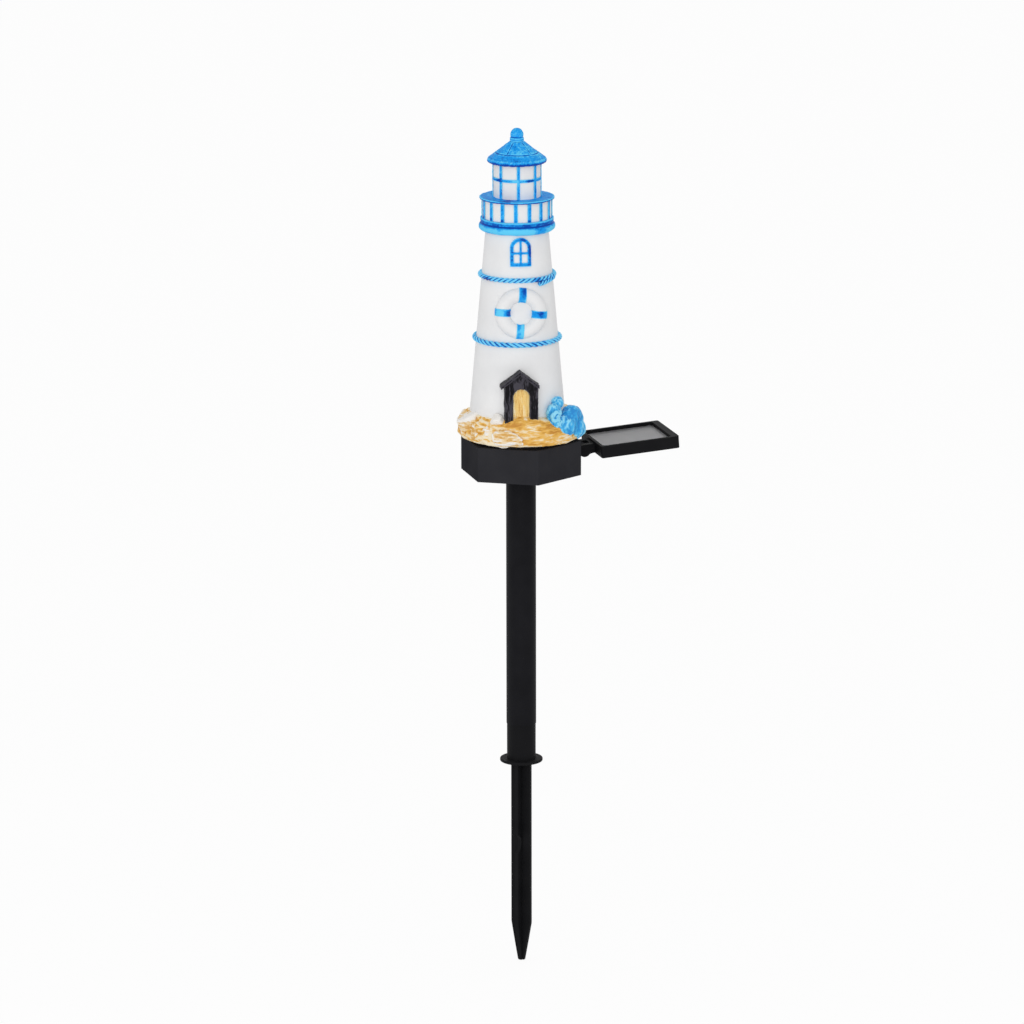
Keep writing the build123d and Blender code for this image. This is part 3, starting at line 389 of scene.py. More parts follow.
def turned(name, profile, steps):
    bpy.ops.object.select_all(action="DESELECT")
    bpy.ops.mesh.primitive_plane_add(size=mm)
    piece = bpy.context.object
    piece.name = name
    bpy.ops.object.mode_set(mode="EDIT")
    bpy.ops.mesh.select_all(action="SELECT")
    bpy.ops.mesh.merge(type="CENTER")
    bpy.ops.transform.translate(value=(profile[0][0], 0.0, profile[0][1]))
    for start, end in zip(profile, profile[1:]):
        move = (end[0] - start[0], 0.0, end[1] - start[1])
        bpy.ops.mesh.extrude_region_move(TRANSFORM_OT_translate={"value": move})
    bpy.ops.mesh.select_all(action="SELECT")
    bpy.ops.mesh.spin(steps=steps, angle=2 * math.pi, center=(0.0, 0.0, 0.0), axis=(0.0, 0.0, 1.0))
    bpy.ops.mesh.select_all(action="SELECT")
    bpy.ops.mesh.remove_doubles(threshold=0.02 * mm)
    bpy.ops.mesh.normals_make_consistent(inside=False)
    bpy.ops.object.mode_set(mode="OBJECT")
    return piece


# Darker paint pooled in the hollows, which also serves as their painted shade, and paler dry-brushed
# ridges, varied by the strokes of the brush, give one tone. It turns the paint from the deep colour through
# the body colour to the bright one.
def brushed_paint_group():
    group, given, result = new_group(
        "brushed_paint",
        [
            ("Deep", "Color"),
            ("Body", "Color"),
            ("Bright", "Color"),
            ("Pooling_shade_and_drybrush", "Float"),
            ("Stroke", "Float"),
            ("Stretch", "Float"),
            ("Spread", "Float"),
        ],
        [("Color", "Color"), ("Tone", "Float"), ("Height", "Float")],
    )
    where = place_node(group, "TexCoord")
    tall = place_node(group, "Math", operation="MULTIPLY")
    group.links.new(given.outputs["Stroke"], tall.inputs[0])
    group.links.new(given.outputs["Stretch"], tall.inputs[1])
    size = place_node(group, "CombineXYZ")
    group.links.new(given.outputs["Stroke"], size.inputs["X"])
    group.links.new(given.outputs["Stroke"], size.inputs["Y"])
    group.links.new(tall.outputs[0], size.inputs["Z"])
    scaled = place_node(group, "VectorMath", operation="MULTIPLY")
    group.links.new(where.outputs["Object"], scaled.inputs[0])
    group.links.new(size.outputs[0], scaled.inputs[1])
    strokes = place_node(
        group, "TexNoise", {"Scale": 1.0, "Detail": 3.0, "Roughness": 0.6, "Distortion": 0.6}
    )
    group.links.new(scaled.outputs[0], strokes.inputs["Vector"])
    pools = place_node(group, "TexNoise", {"Scale": 0.33, "Detail": 2.0})
    group.links.new(scaled.outputs[0], pools.inputs["Vector"])
    blend = place_node(group, "Mix", {"Factor": 0.4})
    group.links.new(strokes.outputs["Fac"], blend.inputs["A"])
    group.links.new(pools.outputs["Fac"], blend.inputs["B"])
    middle = place_node(group, "Math", operation="SUBTRACT")
    middle.inputs[1].default_value = 0.5
    group.links.new(blend.outputs["Result"], middle.inputs[0])
    varied = place_node(group, "Math", operation="MULTIPLY")
    group.links.new(middle.outputs[0], varied.inputs[0])
    group.links.new(given.outputs["Spread"], varied.inputs[1])
    pooling_shade_and_drybrush_level = place_node(group, "MapRange", {"From Min": 0.25, "From Max": 0.75})
    group.links.new(given.outputs["Pooling_shade_and_drybrush"], pooling_shade_and_drybrush_level.inputs["Value"])
    tone = place_node(group, "Math", operation="ADD")
    group.links.new(varied.outputs[0], tone.inputs[0])
    group.links.new(pooling_shade_and_drybrush_level.outputs["Result"], tone.inputs[1])
    low = place_node(
        group, "MapRange", {"From Min": 0.22, "From Max": 0.5}, interpolation_type="SMOOTHSTEP"
    )
    group.links.new(tone.outputs[0], low.inputs["Value"])
    high = place_node(
        group, "MapRange", {"From Min": 0.5, "From Max": 0.78}, interpolation_type="SMOOTHSTEP"
    )
    group.links.new(tone.outputs[0], high.inputs["Value"])
    shaded = place_node(group, "Mix", data_type="RGBA")
    group.links.new(low.outputs["Result"], shaded.inputs["Factor"])
    group.links.new(given.outputs["Deep"], shaded.inputs["A"])
    group.links.new(given.outputs["Body"], shaded.inputs["B"])
    lit = place_node(group, "Mix", data_type="RGBA")
    group.links.new(high.outputs["Result"], lit.inputs["Factor"])
    group.links.new(shaded.outputs["Result"], lit.inputs["A"])
    group.links.new(given.outputs["Bright"], lit.inputs["B"])
    group.links.new(lit.outputs["Result"], result.inputs["Color"])
    group.links.new(tone.outputs[0], result.inputs["Tone"])
    group.links.new(strokes.outputs["Fac"], result.inputs["Height"])
    return group


brushed_paint = brushed_paint_group()


def painted(name, deep, body, bright, stroke, stretch, spread, polish, specular):
    material = bpy.data.materials.new(name)
    material.use_nodes = True
    set_shader(material, {"Specular IOR Level": specular})
    tree = material.node_tree
    shader = tree.nodes["Principled BSDF"]
    pooling_shade_and_drybrush = place_node(tree, "VertexColor", layer_name="pooling_shade_and_drybrush")
    brush = {
        "Deep": (*deep, 1.0),
        "Body": (*body, 1.0),
        "Bright": (*bright, 1.0),
        "Stroke": stroke,
        "Stretch": stretch,
        "Spread": spread,
    }
    paint = place_node(tree, "Group", brush, node_tree=brushed_paint)
    tree.links.new(pooling_shade_and_drybrush.outputs["Color"], paint.inputs["Pooling_shade_and_drybrush"])
    tree.links.new(paint.outputs["Color"], shader.inputs["Base Color"])
    gloss = place_node(tree, "MapRange", {"To Min": polish[0], "To Max": polish[1]})
    tree.links.new(paint.outputs["Tone"], gloss.inputs["Value"])
    tree.links.new(gloss.outputs["Result"], shader.inputs["Roughness"])
    bump = place_node(tree, "Bump", {"Strength": stroke_relief, "Distance": stroke_depth})
    tree.links.new(paint.outputs["Height"], bump.inputs["Height"])
    tree.links.new(bump.outputs["Normal"], shader.inputs["Normal"])
    return material


# A touch is one dab of the brush, on several pieces a painted highlight or painted shade: its bearing, its
# height over the seat in millimetres, half its width in degrees, half its height in millimetres, and how
# much it brightens or darkens the paint.
def add_touches(piece, touches):
    lifts = []
    for vertex in piece.data.vertices:
        bearing = bearing_of(vertex.co)
        lift = 0.0
        for touch_bearing, touch_height, wide, tall, amount in touches:
            along = angle_between(bearing, touch_bearing) / wide
            up = (vertex.co.z - seat_top - touch_height * mm) / (tall * mm)
            lift += amount * max(0.0, 1.0 - along ** 2 - up ** 2) ** 2
        lifts.append(lift)
    shades = piece.data.color_attributes["pooling_shade_and_drybrush"].data
    for corner in piece.data.loops:
        shade = min(1.0, max(0.0, shades[corner.index].color[0] + lifts[corner.vertex_index]))
        shades[corner.index].color = (shade, shade, shade, 1.0)


def finish_piece(piece, material, slot, *nodes, touches=(), blur=2):
    pick(piece)
    bpy.ops.object.shade_smooth()
    bpy.ops.geometry.color_attribute_add(
        name="pooling_shade_and_drybrush", domain="CORNER", data_type="BYTE_COLOR", color=(1.0, 1.0, 1.0, 1.0)
    )
    # Hollows are darkened as pooled paint and painted shade; ridges are paled as dry-brushed paint.
    bpy.ops.paint.vertex_color_dirt(
        blur_strength=1.0,
        blur_iterations=blur,
        dirt_angle=hollow_angle,
        clean_angle=ridge_angle,
        normalize=False,
    )
    if touches:
        add_touches(piece, touches)
    piece.data.materials.clear()
    piece.data.materials.append(material)
    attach(piece, "head")
    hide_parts(*nodes)


# The bank's section, as reach from the base's axis and height over the seat in millimetres
bank_profile = [
    (29.0, 0.0),
    (34.5, 0.0),
    (38.2, 0.0),
    (39.3, 1.0),
    (39.6, 2.8),
    (39.3, 5.0),
    (38.8, 7.2),
    (38.0, 9.4),
    (37.1, 11.6),
    (36.1, 13.2),
    (34.9, 14.4),
    (33.2, 15.3),
    (31.6, 15.8),
    (28.6, 16.2),
    (28.8, 8.0),
    (29.0, 0.0),
]
bank_height = 16.0 * mm
bank_steps = 180
foot_fade = 8.0
tongue_spread = 30.0
tongue_lift = 2.8 * mm
tower_edge = 30.0 * mm
edge_fade = 4.0 * mm
sand_bearing = -84.0
sand_spread = 18.0
sand_fade = 22.0
sand_roughness = 0.12
bank_line = [(reach * mm, seat_top + rise * mm) for reach, rise in bank_profile]
rock_bank = turned("rock_bank", bank_line, bank_steps)
even_out(rock_bank, facet=0.5 * mm)
rocky = rock_bank.vertex_groups.new(name="rocky")
for vertex in rock_bank.data.vertices:
    reach = math.hypot(vertex.co.x, vertex.co.y)
    bearing = bearing_of(vertex.co)
    rise = (vertex.co.z - seat_top) / bank_height
    tongue = max(0.0, 1.0 - (angle_between(bearing, front_bearing) / tongue_spread) ** 2)
    vertex.co.z += tongue_lift * tongue * max(0.0, rise) ** 2
    vertex.co.x += tower_middle * max(0.0, 1.0 - max(0.0, reach - tower_edge) / edge_fade)
    from_sand = abs(angle_between(bearing, sand_bearing))
    share = min(1.0, max(sand_roughness, (from_sand - sand_spread) / sand_fade))
    share *= min(1.0, max(0.0, rise * foot_fade))
    rocky.add([vertex.index], share, "REPLACE")
roughen(rock_bank, lump=8.0 * mm, depth=2.2 * mm, where="rocky")
roughen(rock_bank, lump=5.0 * mm, depth=1.8 * mm, stretch=(1.3, 1.3, 0.5), where="rocky")
roughen(rock_bank, lump=6.0 * mm, depth=1.2 * mm, stretch=(1.2, 1.2, 0.7))
soften(rock_bank, passes=2)
sand_paint = painted(
    "sand_paint",
    deep=(0.56, 0.25, 0.035),
    body=(0.8, 0.46, 0.095),
    bright=(0.88, 0.77, 0.56),
    stroke=130.0,
    stretch=5.5,
    spread=2.3,
    polish=(0.5, 0.7),
    specular=0.3,
)
sand_touches = [
    (-80, 6.0, 22, 6.0, 0.06),
    (-74, 11.0, 10, 4.0, -0.1),
    (-92, 11.0, 26, 6.0, 0.04),
    (-132, 6.0, 28, 7.0, 0.1),
    (-165, 7.0, 20, 9.0, -0.06),
]
finish_piece(rock_bank, sand_paint, "statue_sand", "rock_base", touches=sand_touches, blur=4)

# Boulders: pale faceted blocks set in the bank, with a layered slab left of the door and a low mound
# at the tower's foot. They are part of the same casting, dry-brushed in cream and white.
block_fullness = 0.62
chip_tilts = (-0.4, 1.3)
chip_depths = (0.36, 0.5)
boulder_chips = 11
first_seed = 40

# Each boulder's bearing, then in millimetres its reach from the axis, the height of its foot over the
# seat, its width along the rim, its depth and its height
boulder_places = [
    (-178, 32.6, 1.0, 18.0, 17.0, 17.6),
    (-156, 33.4, 0.6, 13.0, 12.0, 13.6),
    (-140, 35.2, 0.4, 8.8, 8.4, 11.0),
    (-134, 32.4, 13.4, 12.0, 9.0, 6.0),
    (152, 33.4, 1.0, 14.0, 14.0, 15.0),
    (112, 33.8, 1.0, 13.0, 13.0, 13.0),
    (68, 33.4, 1.0, 14.0, 14.0, 16.0),
    (27, 33.2, 1.0, 12.0, 12.0, 12.6),
]


def around(bearing, reach, height):
    turn = math.radians(bearing)
    return (reach * math.cos(turn), reach * math.sin(turn), height)


def joined(name, first, *others):
    pick(first)
    for piece in others:
        piece.select_set(True)
    bpy.ops.object.join()
    first.name = name
    return first


def chipped_block(bearing, reach, foot, wide, deep, tall, chips, seed):
    chance = random.Random(seed)
    centre = around(bearing, reach * mm, seat_top + (foot + tall / 2) * mm)
    bpy.ops.object.select_all(action="DESELECT")
    bpy.ops.mesh.primitive_ico_sphere_add(
        subdivisions=4,
        radius=block_fullness,
        location=centre,
        rotation=(0.0, 0.0, math.radians(bearing)),
        scale=(deep * mm, wide * mm, tall * mm),
    )
    block = bpy.context.object
    bpy.ops.object.transform_apply()
    bpy.ops.object.mode_set(mode="EDIT")
    for chip in range(chips):
        turn = chance.uniform(0.0, 2 * math.pi)
        tilt = chance.uniform(*chip_tilts)
        normal = (math.cos(turn) * math.cos(tilt), math.sin(turn) * math.cos(tilt), math.sin(tilt))
        depth = chance.uniform(*chip_depths)
        half_size = depth * math.sqrt(
            (normal[0] * deep) ** 2 + (normal[1] * wide) ** 2 + (normal[2] * tall) ** 2
        )
        point = [centre[axis] + normal[axis] * half_size * mm for axis in range(3)]
        bpy.ops.mesh.select_all(action="SELECT")
        bpy.ops.mesh.bisect(plane_co=point, plane_no=normal, use_fill=True, clear_outer=True)
    bpy.ops.object.mode_set(mode="OBJECT")
    return block


blocks = []
for number, place in enumerate(boulder_places):
    blocks.append(chipped_block(*place, chips=boulder_chips, seed=first_seed + number))
slab = chipped_block(bearing=-126, reach=35.3, foot=0.4, wide=30.0, deep=9.6, tall=11.0, chips=8, seed=7)
even_out(slab, facet=0.45 * mm)
roughen(slab, lump=3.4 * mm, depth=1.8 * mm, stretch=(2.6, 2.6, 0.5))
boulders = joined("chipped_boulders", slab, *blocks)
even_out(boulders, facet=0.4 * mm)
soften(boulders, passes=2)
roughen(boulders, lump=3.6 * mm, depth=1.5 * mm, stretch=(1.8, 1.8, 0.6))
soften(boulders, passes=1)
stone_paint = painted(
    "stone_paint",
    deep=(0.68, 0.37, 0.09),
    body=(0.83, 0.63, 0.35),
    bright=(0.88, 0.85, 0.81),
    stroke=130.0,
    stretch=7.0,
    spread=2.6,
    polish=(0.5, 0.7),
    specular=0.3,
)
stone_touches = [
    (-172, 15.4, 11, 5.5, 0.45),
    (-134, 16.0, 15, 6.0, 0.6),
    (-123, 5.0, 24, 6.0, 0.05),
    (-123, 10.4, 20, 3.0, -0.12),
    (-158, 6.0, 18, 8.0, -0.2),
]
finish_piece(boulders, stone_paint, "statue_rock", "boulders", touches=stone_touches, blur=3)

# Wave: curled crests of water beside the door, cast in one with the bank. They are painted sky blue
# with darker troughs and paler swirls.
rock_rim = 39.8 * mm
crest_size = 7.0 * mm
crest_fullness = 1.05

# Each crest's bearing, then in crest sizes how far it sits inside the rim, its height over the seat and
# its radius
crests = [
    (-36, 0.54, 1.01, 1.0),
    (-40, 0.63, 2.29, 0.87),
    (-52, 0.76, 1.46, 1.0),
    (-67, 0.97, 1.99, 0.71),
    (-67, 0.97, 2.89, 0.71),
    (-57, 1.26, 3.61, 0.56),
]
fillers = [(-45, 0.72, 1.95, 0.88), (-33, 0.62, 1.75, 0.8), (-60, 0.95, 1.2, 0.8)]
lobes = []
for bearing, inset, rise, size in crests + fillers:
    centre = around(bearing, rock_rim - inset * crest_size, seat_top + rise * crest_size)
    bpy.ops.object.select_all(action="DESELECT")
    bpy.ops.mesh.primitive_uv_sphere_add(
        segments=40, ring_count=24, radius=crest_fullness * size * crest_size, location=centre
    )
    bpy.ops.object.transform_apply()
    lobes.append(bpy.context.object)
wave = joined("curled_wave", *lobes)
even_out(wave, facet=0.4 * mm)
soften(wave, passes=36)

# The curl is a spiral ridge on the crest beside the door.
curl_bearing = -67.0
curl_facing = -88.0
curl_inset = 0.72
curl_rise = 2.45
curl_size = 6.5 * mm
curl_core = 0.7
curl_fade = 0.6
curl_winding = 8.0
curl_depth = 1.1 * mm
curl_centre = Vector(
    around(curl_bearing, rock_rim - curl_inset * crest_size, seat_top + curl_rise * crest_size)
)
facing = Vector(around(curl_facing, 1.0, 0.0))
beside = Vector(around(curl_facing + 90.0, 1.0, 0.0))
for vertex in wave.data.vertices:
    offset = vertex.co - curl_centre
    spread = math.hypot(offset.dot(beside), offset.z) / curl_size
    turn = math.atan2(offset.z, offset.dot(beside))
    shown = max(0.0, vertex.normal.dot(facing))
    near = max(0.0, 1.0 - max(0.0, spread - curl_core) / curl_fade) * shown
    vertex.co += vertex.normal * math.cos(turn + curl_winding * spread) * near * curl_depth
roughen(wave, lump=3.6 * mm, depth=2.0 * mm, stretch=(0.8, 0.8, 1.8))
soften(wave, passes=2)
water_paint = painted(
    "water_paint",
    deep=(0.02, 0.27, 0.66),
    body=(0.045, 0.42, 0.8),
    bright=(0.28, 0.71, 0.94),
    stroke=260.0,
    stretch=0.45,
    spread=1.5,
    polish=(0.28, 0.42),
    specular=0.3,
)
water_touches = [
    (-67, 17.0, 15, 9.0, 0.06),
    (-66, 17.2, 5, 2.6, 0.5),
    (-42, 18.0, 16, 8.0, -0.13),
    (-46, 6.0, 16, 7.0, -0.04),
]
finish_piece(wave, water_paint, "statue_water", "wave", touches=water_touches, blur=3)

# Porch: two rough posts and a gable round the doorway, with sloped roof slabs. The casting keeps the
# marks of the carved pattern and is painted black, brushed paler along its grain, with painted highlights
# on its edges, its left jamb and over its arch.
porch_paint = painted(
    "porch_paint",
    deep=(0.003, 0.003, 0.004),
    body=(0.008, 0.0075, 0.01),
    bright=(0.06, 0.056, 0.07),
    stroke=260.0,
    stretch=0.3,
    spread=1.6,
    polish=(0.34, 0.48),
    specular=0.08,
)


def cast_copy(node, facet, passes, lump, depth, stretch=(1.0, 1.0, 1.0)):
    piece = bpy.data.objects.new("cast_" + node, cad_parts[node].data.copy())
    bpy.context.scene.collection.objects.link(piece)
    pick(piece)
    bpy.ops.object.mode_set(mode="EDIT")
    bpy.ops.mesh.select_all(action="SELECT")
    bpy.ops.mesh.remove_doubles(threshold=0.002 * mm)
    bpy.ops.object.mode_set(mode="OBJECT")
    even_out(piece, facet)
    soften(piece, passes)
    roughen(piece, lump, depth, stretch=stretch)
    return piece


porch = cast_copy(
    "porch", facet=0.28 * mm, passes=2, lump=2.2 * mm, depth=0.9 * mm, stretch=(1.0, 1.0, 3.0)
)
# Paler touches on the left jamb, over the arch and down the left side are painted highlights.
porch_painted_highlights = [(-111, 26.0, 4, 9.0, 0.35), (-110, 38.0, 6, 4.0, 0.3), (-117, 24.0, 3, 16.0, 0.12)]
finish_piece(porch, porch_paint, "statue_black", "porch", touches=porch_painted_highlights)
porch_roof = cast_copy("porch_roof", facet=0.28 * mm, passes=1, lump=3.0 * mm, depth=0.7 * mm)
finish_piece(porch_roof, porch_paint, "statue_black", "porch_roof")

# Door: an arched leaf of upright boards set back in the porch, cast with its grain and painted a
# golden tan close to the sand's.
door_paint = painted(
    "door_paint",
    deep=(0.68, 0.37, 0.09),
    body=(0.9, 0.62, 0.21),
    bright=(0.92, 0.79, 0.5),
    stroke=520.0,
    stretch=0.16,
    spread=1.3,
    polish=(0.45, 0.62),
    specular=0.3,
)
door = cast_copy("door", facet=0.22 * mm, passes=1, lump=2.0 * mm, depth=0.2 * mm)
roughen(door, lump=1.3 * mm, depth=0.6 * mm, stretch=(1.0, 1.0, 8.0))
finish_piece(door, door_paint, "statue_sand", "door")

# Ropes: two rings of three-strand rope laid round the tower, cast with it and painted blue. The upper
# one has its end tucked under itself beside the front.
rope_paint = painted(
    "rope_paint",
    deep=(0.002, 0.045, 0.3),
    body=(0.01, 0.32, 0.85),
    bright=(0.17, 0.64, 0.95),
    stroke=200.0,
    stretch=1.0,
    spread=1.8,
    polish=(0.3, 0.44),
    specular=0.2,
)
tower_foot_radius = (tower_high.x - tower_low.x) / 2
tower_top_radius = 20.0 * mm
tower_slope = (tower_foot_radius - tower_top_radius) / (tower_high.z - tower_low.z)
full_turn = 2 * math.pi
rope_facet = 0.24 * mm
rope_lift = 0.8 * mm
rope_steps = 18


def tower_radius(height):
    return tower_foot_radius - tower_slope * (height - tower_low.z)


def middle_height(node):
    low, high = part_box(node)
    return (low.z + high.z) / 2


def laid_rope(name, reach, thickness, arc, turns, hand):
    length = reach * arc
    strand = 0.25 * thickness
    bpy.ops.object.select_all(action="DESELECT")
    bpy.ops.mesh.primitive_circle_add(
        vertices=12,
        radius=strand,
        location=(-length / 2, 0.5 * thickness - strand, 0.0),
        rotation=(0.0, math.pi / 2, 0.0),
        fill_type="NGON",
    )
    rope = bpy.context.object
    rope.name = name
    bpy.ops.object.transform_apply()
    bpy.ops.object.mode_set(mode="EDIT")
    bpy.ops.mesh.delete(type="ONLY_FACE")
    bpy.ops.mesh.select_all(action="SELECT")
    for strand_copy in range(2):
        bpy.ops.mesh.duplicate()
        bpy.ops.transform.rotate(
            value=full_turn / 3, orient_axis="X", center_override=(-length / 2, 0.0, 0.0)
        )
    bpy.ops.object.mode_set(mode="OBJECT")
    add_modifier(
        rope,
        "SCREW",
        axis="X",
        angle=full_turn * hand,
        screw_offset=length / turns,
        iterations=turns,
        steps=rope_steps,
        render_steps=rope_steps,
    )
    add_modifier(rope, "SIMPLE_DEFORM", deform_method="BEND", deform_axis="Z", angle=arc)
    bpy.ops.object.mode_set(mode="EDIT")
    bpy.ops.mesh.select_all(action="SELECT")
    bpy.ops.mesh.remove_doubles(threshold=0.05 * mm)
    bpy.ops.mesh.fill_holes(sides=0)
    bpy.ops.mesh.select_all(action="SELECT")
    bpy.ops.mesh.normals_make_consistent(inside=False)
    bpy.ops.object.mode_set(mode="OBJECT")
    return rope


def set_rope(rope, reach, height, bearing, tilt):
    shift = Matrix.Translation((0.0, -reach, 0.0))
    lean = Matrix.Rotation(math.radians(tilt), 4, "Y")
    turn = Matrix.Rotation(math.radians(bearing + 90.0), 4, "Z")
    rope.matrix_world = Matrix.Translation((tower_middle, 0.0, height)) @ turn @ lean @ shift
    pick(rope)
    bpy.ops.object.transform_apply()


lower_height = middle_height("lower_rope")
lower_reach = tower_radius(lower_height) + rope_lift
lower_rope = laid_rope("lower_laid_rope", lower_reach, thickness=3.5 * mm, arc=full_turn, turns=14, hand=1)
set_rope(lower_rope, lower_reach, lower_height, bearing=-90.0, tilt=0.0)
even_out(lower_rope, rope_facet)
finish_piece(lower_rope, rope_paint, "statue_blue", "lower_rope")
upper_height = middle_height("upper_rope")
upper_reach = tower_radius(upper_height) + rope_lift
end_reach = upper_reach + 0.9 * mm
end_height = upper_height - 1.7 * mm
rope_end = laid_rope("rope_end", end_reach, thickness=3.1 * mm, arc=0.68, turns=2, hand=-1)
set_rope(rope_end, end_reach, end_height, bearing=-52.0, tilt=-9.0)
upper_rope = laid_rope("upper_laid_rope", upper_reach, thickness=3.4 * mm, arc=full_turn, turns=14, hand=-1)
set_rope(upper_rope, upper_reach, upper_height, bearing=-90.0, tilt=0.0)
upper_rope = joined("upper_laid_rope", upper_rope, rope_end)
even_out(upper_rope, rope_facet)
rope_level = (upper_height - seat_top) / mm
# Paler at the front left as a painted highlight, and darker at its left and right as painted shade.
upper_rope_painted_light = [
    (-160, rope_level - 1.0, 14, 3.0, -0.35),
    (-124, rope_level + 0.5, 16, 3.0, 0.12),
    (-80, rope_level - 0.5, 12, 3.0, -0.2),
]
finish_piece(upper_rope, rope_paint, "statue_blue", "upper_rope", touches=upper_rope_painted_light)

# Life ring: a stout white ring bedded in the tower's front with four blue bands. The bands are brushed
# on by hand over low raised wraps, so their edges wander.
blue_paint = painted(
    "blue_paint",
    deep=(0.003, 0.065, 0.42),
    body=(0.01, 0.335, 0.87),
    bright=(0.12, 0.62, 0.95),
    stroke=190.0,
    stretch=1.8,
    spread=1.0,
    polish=(0.42, 0.56),
    specular=0.07,
)
ring_level = (middle_height("life_ring") - seat_top) / mm
bands = cast_copy("life_ring_bands", facet=0.2 * mm, passes=3, lump=2.6 * mm, depth=0.4 * mm)
band_touches = [
    (-99, ring_level + 14.0, 12, 6.0, -0.16),
    (-101, ring_level - 11.0, 12, 7.0, 0.2),
    (-131, ring_level, 8, 6.0, 0.16),
    (-121, ring_level, 6, 6.0, -0.16),
    (-80, ring_level, 6, 6.0, -0.12),
    (-68, ring_level, 8, 6.0, 0.14),
]
finish_piece(bands, blue_paint, "statue_blue", "life_ring_bands", touches=band_touches, blur=8)

# Window: a raised arched frame with crossed bars on the tower's front. It is cast with the tower and
# picked out by hand in the same blue, a little darker on its right and over its arch.
window_frame = cast_copy("window_frame", facet=0.2 * mm, passes=2, lump=2.0 * mm, depth=0.3 * mm)


def foot_level(node):
    return (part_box(node)[0].z - seat_top) / mm


frame_level = foot_level("window_frame")
frame_touches = [
    (-86, frame_level + 8.0, 9, 12.0, -0.2),
    (-100, frame_level + 18.0, 14, 3.0, -0.12),
    (-100, frame_level + 9.0, 60, 30.0, -0.09),
]
finish_piece(window_frame, blue_paint, "statue_blue", "window_frame", touches=frame_touches, blur=5)

# Gallery: a rounded cornice, a white wall with blue posts, and a flat top rail, all cast with the
# tower. The brush has left paler streaks on the cornice. The cornice is paler at the front as a painted
# highlight, and painted shade darkens its right side and upper tier, the posts' feet and right side, and
# the rail's lower edge.
all_round = 400.0
cornice_level = foot_level("gallery_band")
cornice = cast_copy("gallery_band", facet=0.35 * mm, passes=2, lump=5.0 * mm, depth=0.5 * mm)
# Paler streaks all round, a painted highlight at the front, and painted shade on the right side and along
# the upper tier.
cornice_streaks_and_painted_light = [
    (front_bearing, cornice_level + 2.2, all_round, 3.2, 0.08),
    (-104, cornice_level + 2.2, 26.0, 3.2, 0.1),
    (-72, cornice_level + 2.4, 20.0, 3.2, -0.16),
    (front_bearing, cornice_level + 5.8, all_round, 2.4, -0.16),
]
finish_piece(cornice, blue_paint, "statue_blue", "gallery_band", touches=cornice_streaks_and_painted_light)
posts = cast_copy("gallery_posts", facet=0.22 * mm, passes=2, lump=2.4 * mm, depth=0.4 * mm)
# Painted shade darkens the posts' feet all round and their right side.
post_painted_shade = [
    (front_bearing, cornice_level + 8.5, all_round, 3.0, -0.15),
    (-86, cornice_level + 17.0, 8.0, 9.0, -0.12),
]
finish_piece(posts, blue_paint, "statue_blue", "gallery_posts", touches=post_painted_shade)
rail_level = foot_level("gallery_rail")
rail = cast_copy("gallery_rail", facet=0.3 * mm, passes=2, lump=4.0 * mm, depth=0.5 * mm)
# Painted shade darkens the rail's lower edge all round; the rail is also a little darker at its left.
rail_painted_shade = [
    (front_bearing, rail_level, all_round, 1.3, -0.5),
    (-130, rail_level + 1.4, 20.0, 2.0, -0.12),
]
finish_piece(rail, blue_paint, "statue_blue", "gallery_rail", touches=rail_painted_shade)

# Lantern: a white drum behind a cage of blue glazing bars, both cast with the tower. The bars are
# painted by hand in blue; their middle band is paler at the front left as a painted highlight and darker to
# either side as painted shade, and one spot high at the front is darker.
band_level = rail_level + 13.3
cage = cast_copy("lantern_bars", facet=0.22 * mm, passes=2, lump=2.2 * mm, depth=0.4 * mm)
cage_painted_light_and_shade = [
    # A painted highlight at the front left and painted shade to either side.
    (-82, band_level, 18.0, 2.4, -0.22),
    (-118, band_level, 14.0, 2.4, 0.12),
    (-156, band_level, 14.0, 2.4, -0.2),
    (-102, rail_level + 23.0, 6.0, 3.0, -0.2),
]
finish_piece(cage, blue_paint, "statue_blue", "lantern_bars", touches=cage_painted_light_and_shade)

# Roof: a low cone with grooves between its panels, a rounded eave, and a ball finial on a beaded
# collar. It is cast with the tower. Its paint lies darker in the grooves, as pooled paint and painted
# shade, and painted shade darkens it along the eave; it is a little paler at the front.
eave_level = foot_level("roof")
roof = cast_copy("roof", facet=0.3 * mm, passes=1, lump=3.4 * mm, depth=0.7 * mm)
# Painted shade along the eave all round, and a little paler at the front.
roof_painted_shade_and_tone = [
    (front_bearing, eave_level + 0.4, all_round, 2.4, -0.3),
    (-102, eave_level + 8.0, 24.0, 6.0, 0.06),
]
finish_piece(roof, blue_paint, "statue_blue", "roof", touches=roof_painted_shade_and_tone)
finial = cast_copy("finial", facet=0.22 * mm, passes=1, lump=2.0 * mm, depth=0.25 * mm)
finish_piece(finial, blue_paint, "statue_blue", "finial")

# Studio: a pale floor under the spike's tip, an even white room and one large soft lamp beside the
# camera. The floor and the room show their white to the camera, in reflections and through clear parts.
floor_size = 60.0
floor_level = -135.5 * mm
floor_tone = 0.92
floor_share = 0.92
bpy.ops.object.select_all(action="DESELECT")
bpy.ops.mesh.primitive_plane_add(size=floor_size, location=(0.0, 0.0, floor_level))
floor = bpy.context.object
floor.name = "studio_floor"
floor_white = bpy.data.materials.new("floor_white")
floor_white.use_nodes = True
set_shader(floor_white, {"Roughness": 0.9, "Base Color": (floor_tone, floor_tone, floor_tone, 1.0)})


def shown_background(tree):
    path = place_node(tree, "LightPath")
    looked_at = place_node(tree, "Math", operation="MAXIMUM")
    tree.links.new(path.outputs["Is Camera Ray"], looked_at.inputs[0])
    tree.links.new(path.outputs["Is Glossy Ray"], looked_at.inputs[1])
    shown = place_node(tree, "Math", operation="MAXIMUM")
    tree.links.new(looked_at.outputs[0], shown.inputs[0])
    tree.links.new(path.outputs["Is Transmission Ray"], shown.inputs[1])
    return shown


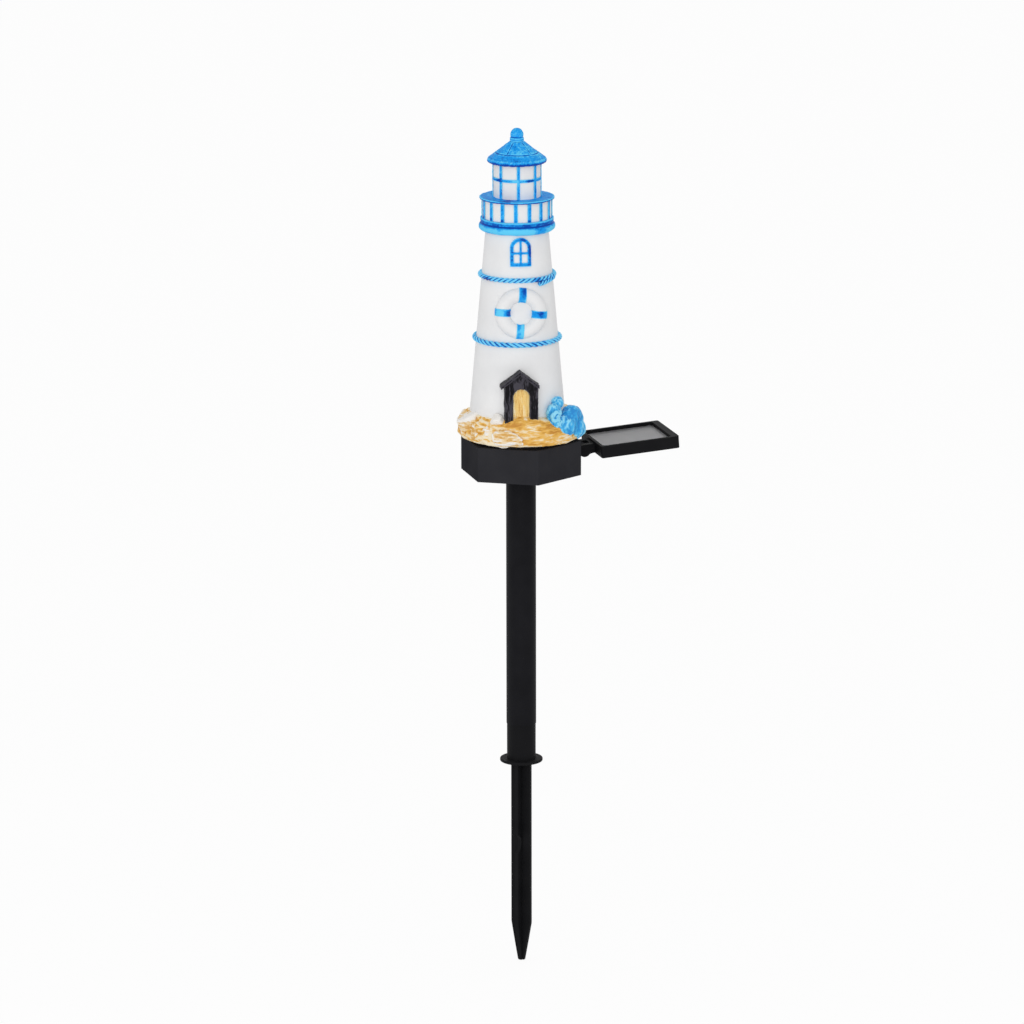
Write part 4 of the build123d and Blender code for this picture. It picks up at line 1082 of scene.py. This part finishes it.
floor_tree = floor_white.node_tree
floor_shader = floor_tree.nodes["Principled BSDF"]
seen = place_node(floor_tree, "Math", operation="MULTIPLY")
seen.inputs[1].default_value = floor_share
floor_tree.links.new(shown_background(floor_tree).outputs[0], seen.inputs[0])
glow = place_node(floor_tree, "Emission")
both = place_node(floor_tree, "MixShader")
floor_tree.links.new(seen.outputs[0], both.inputs["Fac"])
floor_tree.links.new(floor_shader.outputs["BSDF"], both.inputs[1])
floor_tree.links.new(glow.outputs["Emission"], both.inputs[2])
floor_tree.links.new(both.outputs["Shader"], floor_tree.nodes["Material Output"].inputs["Surface"])
floor.data.materials.append(floor_white)

room_light = 0.76
room_white = 1.0
room = bpy.data.worlds.new("white_room")
bpy.context.scene.world = room
room.use_nodes = True
room_tree = room.node_tree
room_back = room_tree.nodes["Background"]
room_level = place_node(room_tree, "MapRange", {"To Min": room_light, "To Max": room_white})
room_tree.links.new(shown_background(room_tree).outputs[0], room_level.inputs["Value"])
room_tree.links.new(room_level.outputs["Result"], room_back.inputs["Strength"])
room_back.inputs["Color"].default_value = (1.0, 1.0, 1.0, 1.0)

lamp_bearing = -113.0
lamp_reach = 2.1
lamp_height = 0.8
statue_foot = Vector((0.0, 0.0, 0.22))
bpy.ops.object.select_all(action="DESELECT")
bpy.ops.object.light_add(type="AREA", location=around(lamp_bearing, lamp_reach, lamp_height))
key_lamp = bpy.context.object
key_lamp.name = "key_lamp"
key_lamp.data.size = 1.2
key_lamp.data.energy = 11.0
key_lamp.rotation_euler = (statue_foot - key_lamp.location).to_track_quat("-Z", "Y").to_euler()

camera_bearing = -106.0
camera_lift = math.radians(13.9)
camera_reach = 4.0
camera_lens = 219.3
camera_roll = Matrix.Rotation(math.radians(-0.1), 4, "Z").to_quaternion()
aim_left = -5.8 * mm
aim_height = 165.4 * mm
across = math.radians(camera_bearing + 90.0)
aim = Vector((aim_left * math.cos(across), aim_left * math.sin(across), aim_height))
back = Vector(around(camera_bearing, math.cos(camera_lift), math.sin(camera_lift)))
bpy.ops.object.select_all(action="DESELECT")
bpy.ops.object.camera_add(location=aim + back * camera_reach)
camera = bpy.context.object
camera.data.lens = camera_lens
camera.data.sensor_width = 36.0
camera.rotation_mode = "QUATERNION"
camera.rotation_quaternion = (-back).to_track_quat("-Z", "Y") @ camera_roll
bpy.context.scene.camera = camera
bpy.context.scene.view_settings.view_transform = "Standard"
